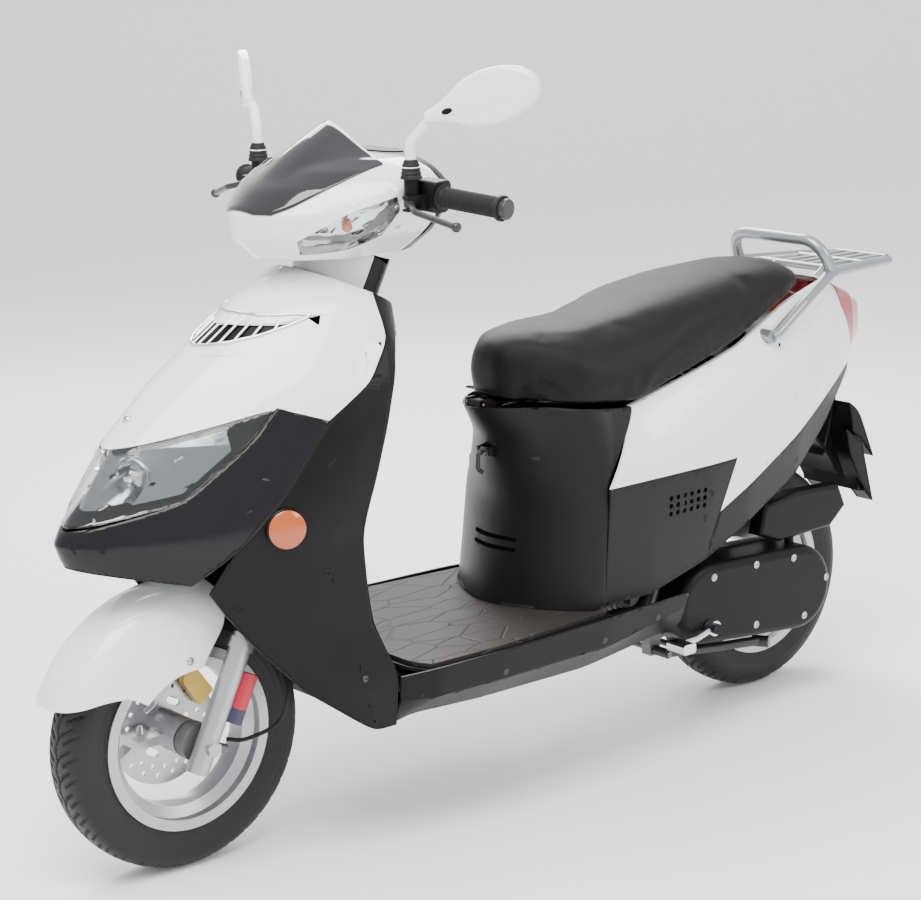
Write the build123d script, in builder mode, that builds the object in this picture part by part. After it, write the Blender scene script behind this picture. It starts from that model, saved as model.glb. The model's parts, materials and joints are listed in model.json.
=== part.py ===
from build123d import *
import os
from math import cos, sin, radians

os.makedirs("parts", exist_ok=True)

# A step-through moped scooter. Millimetres, +X forward, +Y to the rider's left, +Z up,
# origin on the ground under the middle of the machine.

# Running gear
FRONT_AXLE_X = 700
REAR_AXLE_X = -600
TYRE_RADIUS = 216
TYRE_WIDTH = 92
TREAD_FLAT = 44
TREAD_THICKNESS = 10
SIDEWALL = 6
RIM_SEAT_RADIUS = 138
RIM_WIDTH = 72
RIM_WALL = 5
FLANGE_HEIGHT = 12
HUB_RADIUS = 30
AXLE_RADIUS = 6
AXLE_CLEARANCE = 0.4
DISC_RADIUS = 95

# Steering and fork
RAKE = 26.5
TRAIL = 75
FORK_HALF_SPACING = 86
SLIDER_RADIUS = 18
STANCHION_RADIUS = 14
STEM_RADIUS = 13
HEAD_TUBE_RADIUS = 24

# Body
WALL = 4
SEAM = 0.4
FLOOR_Z = 298
MAT_THICKNESS = 7
SEAT_GAP = 1.5
GRIP_RADIUS = 16
BAR_RADIUS = 11

# Drive unit
SWING_PIVOT_X = -215
SWING_PIVOT_Z = 205
CVT_INNER_Y = 62
CVT_OUTER_Y = 150

FRONT_AXLE = (FRONT_AXLE_X, 0, TYRE_RADIUS)
REAR_AXLE = (REAR_AXLE_X, 0, TYRE_RADIUS)
STEER = Plane(
    origin=(FRONT_AXLE_X + TRAIL, 0, 0),
    x_dir=(cos(radians(RAKE)), 0, sin(radians(RAKE))),
    z_dir=(-sin(radians(RAKE)), 0, cos(radians(RAKE))),
)
HUB_OFFSET = STEER.to_local_coords(Vector(*FRONT_AXLE)).X
HUB_LEVEL = STEER.to_local_coords(Vector(*FRONT_AXLE)).Z


def finish(builder, name):
    """Label a finished piece and write it as its own STEP file."""
    builder.part.label = name
    export_step(builder.part, "parts/" + name + ".step")


def side_plane(y):
    """The plane whose sketch axes are X and Z, at a given distance to the left."""
    return Plane.XZ.offset(-y)


def cross_plane(x):
    """The plane across the machine whose sketch axes are Y and Z."""
    return Plane(origin=(x, 0, 0), x_dir=(0, 1, 0), z_dir=(1, 0, 0))


def prism(points, low_y, high_y):
    """A straight block whose side view is a polygon of X, Z points."""
    with BuildPart() as block:
        with BuildSketch(side_plane(high_y)):
            with BuildLine():
                Polyline(*points, close=True)
            make_face()
        extrude(amount=high_y - low_y)
    return block.part


def pipe(points, radius, bend):
    """A round tube along straight runs joined by arcs of one radius."""
    start = Vector(*points[0])
    with BuildPart() as tube:
        with BuildLine() as path:
            if len(points) == 2:
                Line(points[0], points[1])
            else:
                FilletPolyline(*points, radius=bend)
        with BuildSketch(Plane(origin=start, z_dir=Vector(*points[1]) - start)):
            Circle(radius)
        sweep(path=path.wires()[0])
    return tube.part


def rod(start, end, radius):
    """A plain round bar between two points."""
    return pipe((start, end), radius, 0)


def mirrored(solid):
    """The same solid on the other side of the machine."""
    return mirror(solid, about=Plane.XZ, mode=Mode.PRIVATE)


# ---------------------------------------------------------------- wheels

def make_tyre(axle, name):
    """A scooter tyre with a flat-topped crown, round shoulders and beads on the rim seat."""
    half = TYRE_WIDTH / 2
    flat = TREAD_FLAT / 2
    bead = RIM_WIDTH / 2
    shoulder = TYRE_RADIUS - 34
    with BuildPart() as tyre:
        with BuildSketch(Plane(origin=axle, x_dir=(0, 1, 0), z_dir=(1, 0, 0))):
            with BuildLine():
                Line((-flat, TYRE_RADIUS), (flat, TYRE_RADIUS))
                ThreePointArc((flat, TYRE_RADIUS), (half - 5, TYRE_RADIUS - 14), (half, shoulder))
                Line((half, shoulder), (bead, RIM_SEAT_RADIUS + 14))
                Line((bead, RIM_SEAT_RADIUS + 14), (bead, RIM_SEAT_RADIUS))
                Line((bead, RIM_SEAT_RADIUS), (bead - 10, RIM_SEAT_RADIUS))
                Line((bead - 10, RIM_SEAT_RADIUS), (half - SIDEWALL, shoulder))
                Line((half - SIDEWALL, shoulder), (flat, TYRE_RADIUS - TREAD_THICKNESS))
                Line((flat, TYRE_RADIUS - TREAD_THICKNESS), (-flat, TYRE_RADIUS - TREAD_THICKNESS))
                Line((-flat, TYRE_RADIUS - TREAD_THICKNESS), (SIDEWALL - half, shoulder))
                Line((SIDEWALL - half, shoulder), (10 - bead, RIM_SEAT_RADIUS))
                Line((10 - bead, RIM_SEAT_RADIUS), (-bead, RIM_SEAT_RADIUS))
                Line((-bead, RIM_SEAT_RADIUS), (-bead, RIM_SEAT_RADIUS + 14))
                Line((-bead, RIM_SEAT_RADIUS + 14), (-half, shoulder))
                ThreePointArc((-half, shoulder), (5 - half, TYRE_RADIUS - 14), (-flat, TYRE_RADIUS))
            make_face()
        revolve(axis=Axis(axle, (0, 1, 0)))
    finish(tyre, name)


def make_rim(axle, name, hub_half, barrel_radius=HUB_RADIUS):
    """A cast alloy wheel: well, flanges, hub barrel and five pairs of spokes."""
    half = RIM_WIDTH / 2
    seat = RIM_SEAT_RADIUS - SEAM
    with BuildPart() as rim:
        with BuildSketch(Plane(origin=axle, x_dir=(0, 1, 0), z_dir=(1, 0, 0))):
            with BuildLine():
                Polyline(
                    (-half - RIM_WALL, seat + FLANGE_HEIGHT), (-half - SEAM, seat + FLANGE_HEIGHT),
                    (-half - SEAM, seat), (-half + 14, seat), (-half + 20, seat - 14),
                    (half - 20, seat - 14), (half - 14, seat), (half + SEAM, seat),
                    (half + SEAM, seat + FLANGE_HEIGHT), (half + RIM_WALL, seat + FLANGE_HEIGHT),
                    (half + RIM_WALL, seat - RIM_WALL), (half - 10, seat - RIM_WALL),
                    (half - 18, seat - 22), (18 - half, seat - 22), (10 - half, seat - RIM_WALL),
                    (-half - RIM_WALL, seat - RIM_WALL), close=True)
            make_face()
        revolve(axis=Axis(axle, (0, 1, 0)))
        hub_plane = Plane(origin=(axle[0], hub_half, axle[2]), x_dir=(1, 0, 0), z_dir=(0, -1, 0))
        with BuildSketch(hub_plane):
            Circle(barrel_radius)
        extrude(amount=2 * hub_half)
        spoke_plane = Plane(origin=(axle[0], 13, axle[2]), x_dir=(1, 0, 0), z_dir=(0, -1, 0))
        with BuildSketch(spoke_plane):
            with PolarLocations(0, 5):
                with BuildLine(mode=Mode.PRIVATE) as spoke:
                    Polyline((20, -3), (75, -3), (118, -34), (118, -18), (82, 5), (20, 9), close=True)
                make_face(spoke.edges())
                with BuildLine(mode=Mode.PRIVATE) as twin:
                    Polyline((20, 3), (75, 3), (118, 34), (118, 18), (82, -5), (20, -9), close=True)
                make_face(twin.edges())
        extrude(amount=26)
        with BuildSketch(hub_plane):
            Circle(AXLE_RADIUS + AXLE_CLEARANCE)
        extrude(amount=2 * hub_half, mode=Mode.SUBTRACT)
    finish(rim, name)


make_tyre(FRONT_AXLE, "front_tyre")
make_tyre(REAR_AXLE, "rear_tyre")
make_rim(FRONT_AXLE, "front_rim", 38)
make_rim(REAR_AXLE, "rear_rim", 40, barrel_radius=62)

# The drilled brake disc is bolted to the right face of the front hub.
DISC_Y = -42
with BuildPart() as brake_disc:
    with BuildSketch(Plane(origin=(FRONT_AXLE_X, DISC_Y + 4, TYRE_RADIUS), x_dir=(1, 0, 0), z_dir=(0, -1, 0))):
        Circle(DISC_RADIUS)
        Circle(18, mode=Mode.SUBTRACT)
        with PolarLocations(80, 18):
            Circle(4, mode=Mode.SUBTRACT)
        with PolarLocations(67, 18, start_angle=10):
            Circle(4, mode=Mode.SUBTRACT)
        with PolarLocations(44, 6):
            SlotOverall(26, 12, rotation=90, mode=Mode.SUBTRACT)
    extrude(amount=4)
finish(brake_disc, "brake_disc")

# ---------------------------------------------------------------- fork and front fender

SLIDER_BOTTOM = HUB_LEVEL - 45
SLIDER_TOP = HUB_LEVEL + 185
YOKE_LEVEL = HUB_LEVEL + 375
LEG_SPOTS = ((HUB_OFFSET, FORK_HALF_SPACING), (HUB_OFFSET, -FORK_HALF_SPACING))

with BuildPart() as fork_legs:
    with BuildSketch(STEER.offset(SLIDER_BOTTOM)):
        with Locations(*LEG_SPOTS):
            Circle(SLIDER_RADIUS)
    extrude(amount=SLIDER_TOP - SLIDER_BOTTOM)
    with BuildSketch(STEER.offset(SLIDER_TOP - 26)):
        with Locations(*LEG_SPOTS):
            Circle(SLIDER_RADIUS + 3)
    extrude(amount=18)
    with BuildSketch(Plane(origin=(FRONT_AXLE_X, FORK_HALF_SPACING + 26, TYRE_RADIUS), z_dir=(0, -1, 0))):
        Circle(AXLE_RADIUS)
    extrude(amount=2 * (FORK_HALF_SPACING + 26))
    for side in (1, -1):
        with BuildSketch(Plane(origin=(FRONT_AXLE_X, side * (FORK_HALF_SPACING + 26), TYRE_RADIUS), z_dir=(0, -side, 0))):
            RegularPolygon(13, 6)
        extrude(amount=12)
    with BuildSketch(STEER.offset(SLIDER_TOP - 130)):
        with Locations(*LEG_SPOTS):
            Circle(STANCHION_RADIUS + 0.05)
    extrude(amount=131, mode=Mode.SUBTRACT)
finish(fork_legs, "fork_legs")

# The speedometer drive sits on the left end of the front hub, around the axle.
with BuildPart() as speedo_drive:
    with BuildSketch(Plane(origin=(FRONT_AXLE_X, FORK_HALF_SPACING - SLIDER_RADIUS - 2, TYRE_RADIUS), z_dir=(0, -1, 0))):
        Circle(31)
        Circle(AXLE_RADIUS + 0.05, mode=Mode.SUBTRACT)
    extrude(amount=22)
    with BuildSketch(Plane(origin=(FRONT_AXLE_X - 20, FORK_HALF_SPACING - SLIDER_RADIUS - 12, TYRE_RADIUS - 12), z_dir=(-1, 0, -0.4))):
        Circle(8)
    extrude(amount=38)
finish(speedo_drive, "speedo_drive")

with BuildPart() as brake_caliper:
    with BuildSketch(side_plane(DISC_Y + 22)):
        with BuildLine():
            Polyline((612, 262), (640, 240), (668, 284), (664, 310), (644, 308), close=True)
        make_face()
    extrude(amount=44)
    fillet(brake_caliper.edges().filter_by(Axis.Y), 6)
    with BuildSketch(side_plane(DISC_Y + 4 + 2)):
        with Locations((FRONT_AXLE_X, TYRE_RADIUS)):
            Circle(DISC_RADIUS + 3)
    extrude(amount=8, mode=Mode.SUBTRACT)
    with BuildSketch(side_plane(DISC_Y - 22)):
        with Locations((644, 280)):
            Circle(15)
    extrude(amount=3.5)
finish(brake_caliper, "brake_caliper")

# The fender is an arched shell over the front of the tyre, bolted to lugs on the fork sliders.
FENDER_RADIUS = 252
FENDER_HALF_WIDTH = 66
with BuildPart() as front_fender:
    with BuildSketch(Plane(origin=FRONT_AXLE, x_dir=(0, 1, 0), z_dir=(1, 0, 0))):
        with BuildLine():
            Bezier((0, FENDER_RADIUS), (46, FENDER_RADIUS), (FENDER_HALF_WIDTH, 232), (FENDER_HALF_WIDTH, 200))
            Line((FENDER_HALF_WIDTH, 200), (FENDER_HALF_WIDTH, 120))
            Line((FENDER_HALF_WIDTH, 120), (FENDER_HALF_WIDTH - 3, 120))
            Line((FENDER_HALF_WIDTH - 3, 120), (FENDER_HALF_WIDTH - 3, 200))
            Bezier((FENDER_HALF_WIDTH - 3, 200), (FENDER_HALF_WIDTH - 3, 230), (44, FENDER_RADIUS - 3), (0, FENDER_RADIUS - 3))
            mirror(about=Plane.YZ)
        make_face()
    revolve(axis=Axis(FRONT_AXLE, (0, 1, 0)), revolution_arc=360)
    with BuildSketch(side_plane(0)):
        with BuildLine():
            Polyline((935, 312), (868, 320), (818, 318), (778, 292), (735, 278), (705, 286),
                     (680, 345), (640, 400), (640, 500), (980, 520), (980, 312), close=True)
        make_face()
    extrude(amount=120, both=True, mode=Mode.INTERSECT)
finish(front_fender, "front_fender")

# Stem, lower yoke and chromed stanchions are one welded part.
with BuildPart() as fork_stem:
    with BuildSketch(STEER.offset(SLIDER_TOP - 60)):
        with Locations(*LEG_SPOTS):
            Circle(STANCHION_RADIUS)
    extrude(amount=YOKE_LEVEL - SLIDER_TOP + 60)
    with BuildSketch(STEER.offset(YOKE_LEVEL - 24)):
        SlotOverall(2 * FORK_HALF_SPACING + 50, 50, rotation=90)
        with Locations(*LEG_SPOTS):
            Circle(SLIDER_RADIUS + 6)
    extrude(amount=24)
    with BuildSketch(STEER.offset(YOKE_LEVEL - 20)):
        Circle(STEM_RADIUS)
    extrude(amount=1085 - YOKE_LEVEL)
finish(fork_stem, "fork_stem")

# ---------------------------------------------------------------- handlebar and its controls

BAR_ELBOW = Vector(322, 190, 1052)
BAR_END = Vector(283, 345, 1036)
GRIP_WAY = (BAR_END - BAR_ELBOW).normalized()
GRIP_LENGTH = 112
HOUSING_LENGTH = 36


def bar_plane(distance):
    """The plane square to the left grip, at a distance along the bar from its elbow."""
    return Plane(origin=BAR_ELBOW + GRIP_WAY * distance, x_dir=(0, 0, 1), z_dir=GRIP_WAY)


BAR_ROUTE = ((283, -345, 1036), (322, -190, 1052), (318, -110, 1035), (298, -50, 990),
             (298, 50, 990), (318, 110, 1035), (322, 190, 1052), (283, 345, 1036))

with BuildPart() as handlebar:
    add(pipe(BAR_ROUTE, BAR_RADIUS, 24))
    with BuildSketch(STEER.offset(1048)):
        Circle(STEM_RADIUS + 9)
    extrude(amount=64)
    with BuildSketch(STEER.offset(1040)):
        Circle(STEM_RADIUS + 0.05)
    extrude(amount=45.2, mode=Mode.SUBTRACT)
    with BuildPart(mode=Mode.PRIVATE) as bar_end:
        with BuildSketch(bar_plane(42 + GRIP_LENGTH + 0.6)):
            Circle(GRIP_RADIUS)
        extrude(amount=12)
        fillet(bar_end.edges().filter_by(GeomType.CIRCLE).sort_by(Axis.Y)[-1], 3)
    add(bar_end.part)
    add(mirrored(bar_end.part))
finish(handlebar, "handlebar")


def make_grip(bore):
    """A ribbed rubber grip with a flange at each end, on the left bar."""
    with BuildPart() as grip:
        with BuildSketch(bar_plane(42)):
            Circle(GRIP_RADIUS)
        extrude(amount=GRIP_LENGTH)
        for start in (42, 42 + GRIP_LENGTH - 5):
            with BuildSketch(bar_plane(start)):
                Circle(GRIP_RADIUS + 5)
            extrude(amount=5)
        with BuildSketch(bar_plane(40)):
            Circle(bore)
        extrude(amount=GRIP_LENGTH + 5, mode=Mode.SUBTRACT)
    return grip.part


with BuildPart() as left_grip:
    add(make_grip(BAR_RADIUS + 0.02))
finish(left_grip, "left_grip")

with BuildPart() as throttle_grip:
    add(mirrored(make_grip(BAR_RADIUS + 0.3)))
finish(throttle_grip, "throttle_grip")

# Each switch housing is clamped on the bar and carries the lever's perch in front of it.
LEVER_PIVOT = Vector(366, 214, 1042)
MIRROR_BASE = Vector(352, 204, 1079)
with BuildPart() as switch_housing:
    with BuildSketch(bar_plane(4)):
        RectangleRounded(50, 44, 12)
    extrude(amount=HOUSING_LENGTH)
    with BuildSketch(Plane(origin=(LEVER_PIVOT.X, LEVER_PIVOT.Y, LEVER_PIVOT.Z + 12))):
        with BuildLine():
            Polyline((-40, -16), (-10, -16), (8, -6), (8, 8), (-8, 12), (-40, 8), close=True)
        make_face()
    extrude(amount=-24)
    with BuildSketch(Plane(origin=(LEVER_PIVOT.X, LEVER_PIVOT.Y, LEVER_PIVOT.Z - 8))):
        Rectangle(34, 34)
    extrude(amount=14.5, mode=Mode.SUBTRACT)
    with BuildSketch(Plane(origin=(MIRROR_BASE.X, MIRROR_BASE.Y, LEVER_PIVOT.Z + 10))):
        Circle(12)
    extrude(amount=MIRROR_BASE.Z - LEVER_PIVOT.Z - 10.3)
    with BuildSketch(Plane(origin=(LEVER_PIVOT.X, LEVER_PIVOT.Y, LEVER_PIVOT.Z - 12))):
        Circle(3)
    extrude(amount=24)
    with BuildSketch(bar_plane(2)):
        Circle(BAR_RADIUS + 0.15)
    extrude(amount=HOUSING_LENGTH + 4, mode=Mode.SUBTRACT)
with BuildPart() as switch_housings:
    add(switch_housing.part)
    add(mirrored(switch_housing.part))
finish(switch_housings, "switch_housings")

with BuildPart() as brake_lever_left:
    add(pipe(((368, 222, 1041), (384, 250, 1034), (364, 318, 1016)), 5, 12))
    with Locations((362, 322, 1015)):
        Sphere(8)
    with BuildSketch(Plane(origin=(LEVER_PIVOT.X, LEVER_PIVOT.Y, LEVER_PIVOT.Z - 5.5))):
        Circle(8)
    extrude(amount=11)
    with BuildSketch(Plane(origin=(LEVER_PIVOT.X, LEVER_PIVOT.Y, LEVER_PIVOT.Z - 8))):
        Circle(3.1)
    extrude(amount=16, mode=Mode.SUBTRACT)
finish(brake_lever_left, "brake_lever_left")

with BuildPart() as brake_lever_right:
    add(mirrored(brake_lever_left.part))
finish(brake_lever_right, "brake_lever_right")

# A mirror is a flat teardrop shell on a swept arm that screws into the perch.
MIRROR_CENTRE = Vector(282, 322, 1204)
MIRROR_WAY = Vector(-0.483, 0.824, 0.294)
MIRROR_FACE = Vector(0.863, 0.506, 0)
MIRROR_LONG = 78
MIRROR_SHORT = 43
MIRROR_DEPTH = 20
mirror_plane = Plane(origin=MIRROR_CENTRE, x_dir=MIRROR_WAY, z_dir=MIRROR_FACE)
with BuildPart() as mirror_left:
    with BuildSketch(mirror_plane):
        Ellipse(MIRROR_LONG, MIRROR_SHORT)
    extrude(amount=MIRROR_DEPTH)
    fillet(mirror_left.edges().sort_by(Axis(MIRROR_CENTRE, MIRROR_FACE))[-1], 9)
    with BuildSketch(mirror_plane):
        Ellipse(MIRROR_LONG - 5, MIRROR_SHORT - 5)
    extrude(amount=4, mode=Mode.SUBTRACT)
    arm_top = MIRROR_CENTRE - MIRROR_WAY * 45 + MIRROR_FACE * 11
    add(pipe((MIRROR_BASE, (352, 204, 1132), (340, 228, 1160), arm_top), 9, 16))
    with BuildSketch(Plane(origin=MIRROR_BASE)):
        Circle(14)
    extrude(amount=20)
    with BuildSketch(mirror_plane.offset(0.5)):
        Ellipse(MIRROR_LONG - 5.4, MIRROR_SHORT - 5.4)
    extrude(amount=3, mode=Mode.ADD)
finish(mirror_left, "mirror_left")

with BuildPart() as mirror_right:
    add(mirrored(mirror_left.part))
finish(mirror_right, "mirror_right")


# ---------------------------------------------------------------- body sections

def egg_body(stations, wall, ends):
    """A tall smooth body through level egg-shaped sections, drawn in by a wall thickness."""
    with BuildPart() as body:
        for place, (level, front, shoulder, half, edge, rear) in enumerate(stations):
            lift = ends[0] if place == 0 else ends[1] if place == len(stations) - 1 else 0
            side = half - wall
            nose = front - wall
            tail = rear + wall
            with BuildSketch(Plane.XY.offset(level + lift)):
                with BuildLine():
                    Bezier((nose, 0), (nose, 0.35 * side),
                           (shoulder + 0.3 * (nose - shoulder), side), (shoulder, side))
                    Line((shoulder, side), (edge, side))
                    Bezier((edge, side), (edge - 0.2 * (edge - tail), side),
                           (tail, 0.7 * side), (tail, 0))
                    mirror(about=Plane.XZ)
                make_face()
        loft(ruled=True)
    return body.part


# Level, front, shoulder, half width, side's rear edge and rear, from the floor to the crown.
FRONT_STATIONS = (
    (205, 660, 440, 190, 380, 362), (290, 705, 470, 200, 404, 372), (380, 765, 500, 190, 446, 400),
    (450, 828, 520, 190, 454, 415), (525, 880, 520, 192, 460, 425), (560, 893, 500, 200, 458, 425),
    (620, 858, 480, 205, 440, 400), (700, 797, 455, 203, 414, 362), (770, 716, 440, 192, 392, 325),
    (830, 628, 420, 165, 376, 295), (885, 545, 425, 128, 375, 275), (950, 420, 380, 62, 340, 262))
front_outer = egg_body(FRONT_STATIONS, 0, (0, 0))
front_inner = egg_body(FRONT_STATIONS, WALL, (-2, 2))

# The top of the body is cut square to the steering axis, just below the turning neck cover.
NECK_LEVEL = 984
with BuildPart() as below_neck:
    with BuildSketch(STEER.offset(NECK_LEVEL - 2.5)):
        Rectangle(900, 700)
    extrude(amount=-1400)
front_skin = (front_outer - front_inner) & below_neck.part

PANEL_REAR = ((513, 722), (430, 775), (378, 830), (372, 890), (345, 930))
LAMP_TOP = ((582, 747), (798, 696), (930, 664))
LAMP_LOW = ((582, 747), (640, 690), (735, 620), (930, 572))
APRON_SEAM = ((513, 722), (600, 610), (676, 532))
SHIELD_EDGE = ((404, 290), (446, 380), (454, 450), (460, 525), (458, 560), (440, 620), (414, 700),
               (392, 770), (378, 830), (372, 890), (345, 930))
# The front edge of the apron's sides, around the front wheel.
WHEEL_ARCH = ((676, 532), (705, 472), (682, 436), (634, 373), (562, 291), (477, 226), (440, 200))

grille_plan = ((652, 0), (612, 58), (545, 104), (478, 124), (468, 116), (528, 84), (566, 40), (584, 0))
grille_plan += tuple((x, -y) for x, y in reversed(grille_plan[1:-1]))
with BuildPart() as grille_block:
    with BuildSketch(Plane.XY.offset(790)):
        with BuildLine():
            Polyline(*grille_plan, close=True)
        make_face()
    extrude(amount=130)

with BuildPart() as front_panel:
    add(front_skin)
    add(prism(PANEL_REAR + ((345, 960), (960, 960)) + tuple(reversed(LAMP_TOP)), -300, 300), mode=Mode.INTERSECT)
    add(grille_block.part, mode=Mode.SUBTRACT)
finish(front_panel, "front_panel")

with BuildPart() as front_grille:
    add((front_outer - egg_body(FRONT_STATIONS, 9, (-2, 2))) & grille_block.part)
    with BuildSketch(Plane.XY.offset(780)):
        for step in range(-5, 6):
            with Locations((606 - 9 * abs(step), step * 17)):
                Rectangle(34, 9, rotation=-12 * step)
    extrude(amount=150, mode=Mode.SUBTRACT)
finish(front_grille, "front_grille")

with BuildPart() as headlight_lens:
    add(front_skin)
    add(prism(LAMP_LOW + tuple(reversed(LAMP_TOP[1:])), -300, 300), mode=Mode.INTERSECT)
finish(headlight_lens, "headlight_lens")

with BuildPart() as headlight_housing:
    add(egg_body(FRONT_STATIONS, WALL + 0.5, (0, 0)))
    add(prism(((650, 690), (735, 626), (868, 600), (868, 676), (798, 690), (650, 722)), -170, 170), mode=Mode.INTERSECT)
    for side in (1, -1):
        with BuildSketch(Plane(origin=(860, side * 62, 628), z_dir=(-0.93, -side * 0.2, 0.3))):
            Circle(44)
        extrude(amount=110, taper=14, mode=Mode.SUBTRACT)
finish(headlight_housing, "headlight_housing")

with BuildPart() as nose_cowl:
    add(front_skin)
    add(prism(APRON_SEAM + ((720, 470), (950, 500), (950, 560)) + tuple(reversed(LAMP_LOW[1:-1])) + ((582, 747),),
              -300, 300), mode=Mode.INTERSECT)
    add(prism(((676, 532), (731, 488), (784, 500), (862, 518), (940, 540), (940, 440), (660, 440)), -300, 300), mode=Mode.SUBTRACT)
finish(nose_cowl, "nose_cowl")

with BuildPart() as leg_sides:
    add(front_skin)
    add(prism(((513, 722), (600, 610)) + WHEEL_ARCH + ((SHIELD_EDGE[0][0], 200),) + SHIELD_EDGE[0:9] + ((430, 775),),
              -300, 300), mode=Mode.INTERSECT)
finish(leg_sides, "leg_sides")

with BuildPart() as leg_shield:
    add(front_skin)
    add(prism(SHIELD_EDGE + ((345, 960), (200, 960), (200, 290)), -300, 300), mode=Mode.INTERSECT)
finish(leg_shield, "leg_shield")

REFLECTOR_SPOT = (598, 566)
with BuildPart() as side_reflectors:
    for side in (1, -1):
        with BuildSketch(side_plane(side * 206)):
            with Locations(REFLECTOR_SPOT):
                Circle(31)
        extrude(amount=side * 30)
    add(front_outer, mode=Mode.SUBTRACT)
finish(side_reflectors, "side_reflectors")

# The splash guard closes the wheel well behind the front tyre.
with BuildPart() as inner_mudguard:
    with BuildSketch(side_plane(140)):
        with BuildLine():
            Polyline((430, 212), (440, 300), (458, 380), (484, 446), (487, 444), (462, 379), (444, 300),
                     (434, 212), close=True)
        make_face()
    extrude(amount=280)
finish(inner_mudguard, "inner_mudguard")


# ---------------------------------------------------------------- turning neck, head cowl and screen

with BuildPart() as neck_cover:
    with BuildSketch(STEER.offset(NECK_LEVEL + 2)):
        with Locations((24, 0)):
            Ellipse(77, 64)
    with BuildSketch(STEER.offset(NECK_LEVEL + 70)):
        with Locations((30, 0)):
            Ellipse(84, 66)
    loft()
    with BuildSketch(STEER.offset(NECK_LEVEL + 1)):
        with Locations((24, 0)):
            Ellipse(74, 61)
    with BuildSketch(STEER.offset(NECK_LEVEL + 67)):
        with Locations((30, 0)):
            Ellipse(81, 63)
    loft(mode=Mode.SUBTRACT)
    with BuildSketch(STEER.offset(NECK_LEVEL + 60)):
        Circle(STEM_RADIUS + 9.3)
    extrude(amount=20, mode=Mode.SUBTRACT)
    with BuildSketch(STEER.offset(NECK_LEVEL + 60)):
        with Locations((0, 40), (0, -40)):
            Circle(30)
    extrude(amount=20, mode=Mode.SUBTRACT)
finish(neck_cover, "neck_cover")

COWL_STATIONS = (
    (950, 500, 400, 100, 300, 222), (985, 538, 390, 150, 285, 200), (1025, 541, 370, 178, 275, 192),
    (1060, 505, 350, 184, 272, 198), (1085, 462, 340, 166, 285, 215), (1102, 425, 335, 130, 300, 240))
cowl_outer = egg_body(COWL_STATIONS, 0, (0, 0))
cowl_inner = egg_body(COWL_STATIONS, 3, (-2, -3))
bar_gate = rod((322, -200, 1050), (322, 200, 1050), 17)
cowl_skin = cowl_outer - cowl_inner - bar_gate
COWL_SEAM = ((300, 940), (285, 985), (275, 1025), (272, 1060), (285, 1085), (300, 1110))
LENS_EDGE = ((488, 985), (470, 960), (420, 964), (372, 990), (355, 1030), (362, 1050), (430, 1030))

with BuildPart() as indicator_lenses:
    add(cowl_skin)
    add(prism(LENS_EDGE, -300, 300), mode=Mode.INTERSECT)
finish(indicator_lenses, "indicator_lenses")

with BuildPart() as head_cowl_front:
    add(cowl_skin)
    add(prism(COWL_SEAM + ((600, 1130), (600, 900), (300, 900)), -300, 300), mode=Mode.INTERSECT)
    add(prism(LENS_EDGE, -300, 300), mode=Mode.SUBTRACT)
finish(head_cowl_front, "head_cowl_front")

with BuildPart() as head_cowl_rear:
    add(cowl_skin)
    add(prism(COWL_SEAM + ((100, 1130), (100, 900), (300, 900)), -300, 300), mode=Mode.INTERSECT)
    with BuildSketch(Plane.XY.offset(1080)):
        with Locations((261, 0)):
            Ellipse(23, 67)
    extrude(amount=60, mode=Mode.SUBTRACT)
finish(head_cowl_rear, "head_cowl_rear")

with BuildPart() as speedometer:
    with BuildSketch(Plane.XY.offset(1078)):
        with Locations((261, 0)):
            Ellipse(22, 66)
    extrude(amount=26)
    with BuildSketch(Plane.XY.offset(1040)):
        with Locations((261, 0)):
            Rectangle(36, 104)
    extrude(amount=38)
finish(speedometer, "speedometer")

SCREEN_STATIONS = (
    (1020, 480, 400, 70, 380, 330), (1060, 458, 370, 108, 330, 300), (1100, 424, 345, 108, 320, 290),
    (1135, 388, 335, 86, 325, 300), (1158, 366, 330, 50, 325, 310))
with BuildPart() as visor:
    add(egg_body(SCREEN_STATIONS, 0, (0, 0)) - egg_body(SCREEN_STATIONS, 3, (-2, 2)) - cowl_outer)
    add(prism(((520, 1015), (470, 1016), (335, 1090), (345, 1130), (358, 1165), (520, 1165)), -200, 200), mode=Mode.INTERSECT)
finish(visor, "visor")

# ---------------------------------------------------------------- frame

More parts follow.
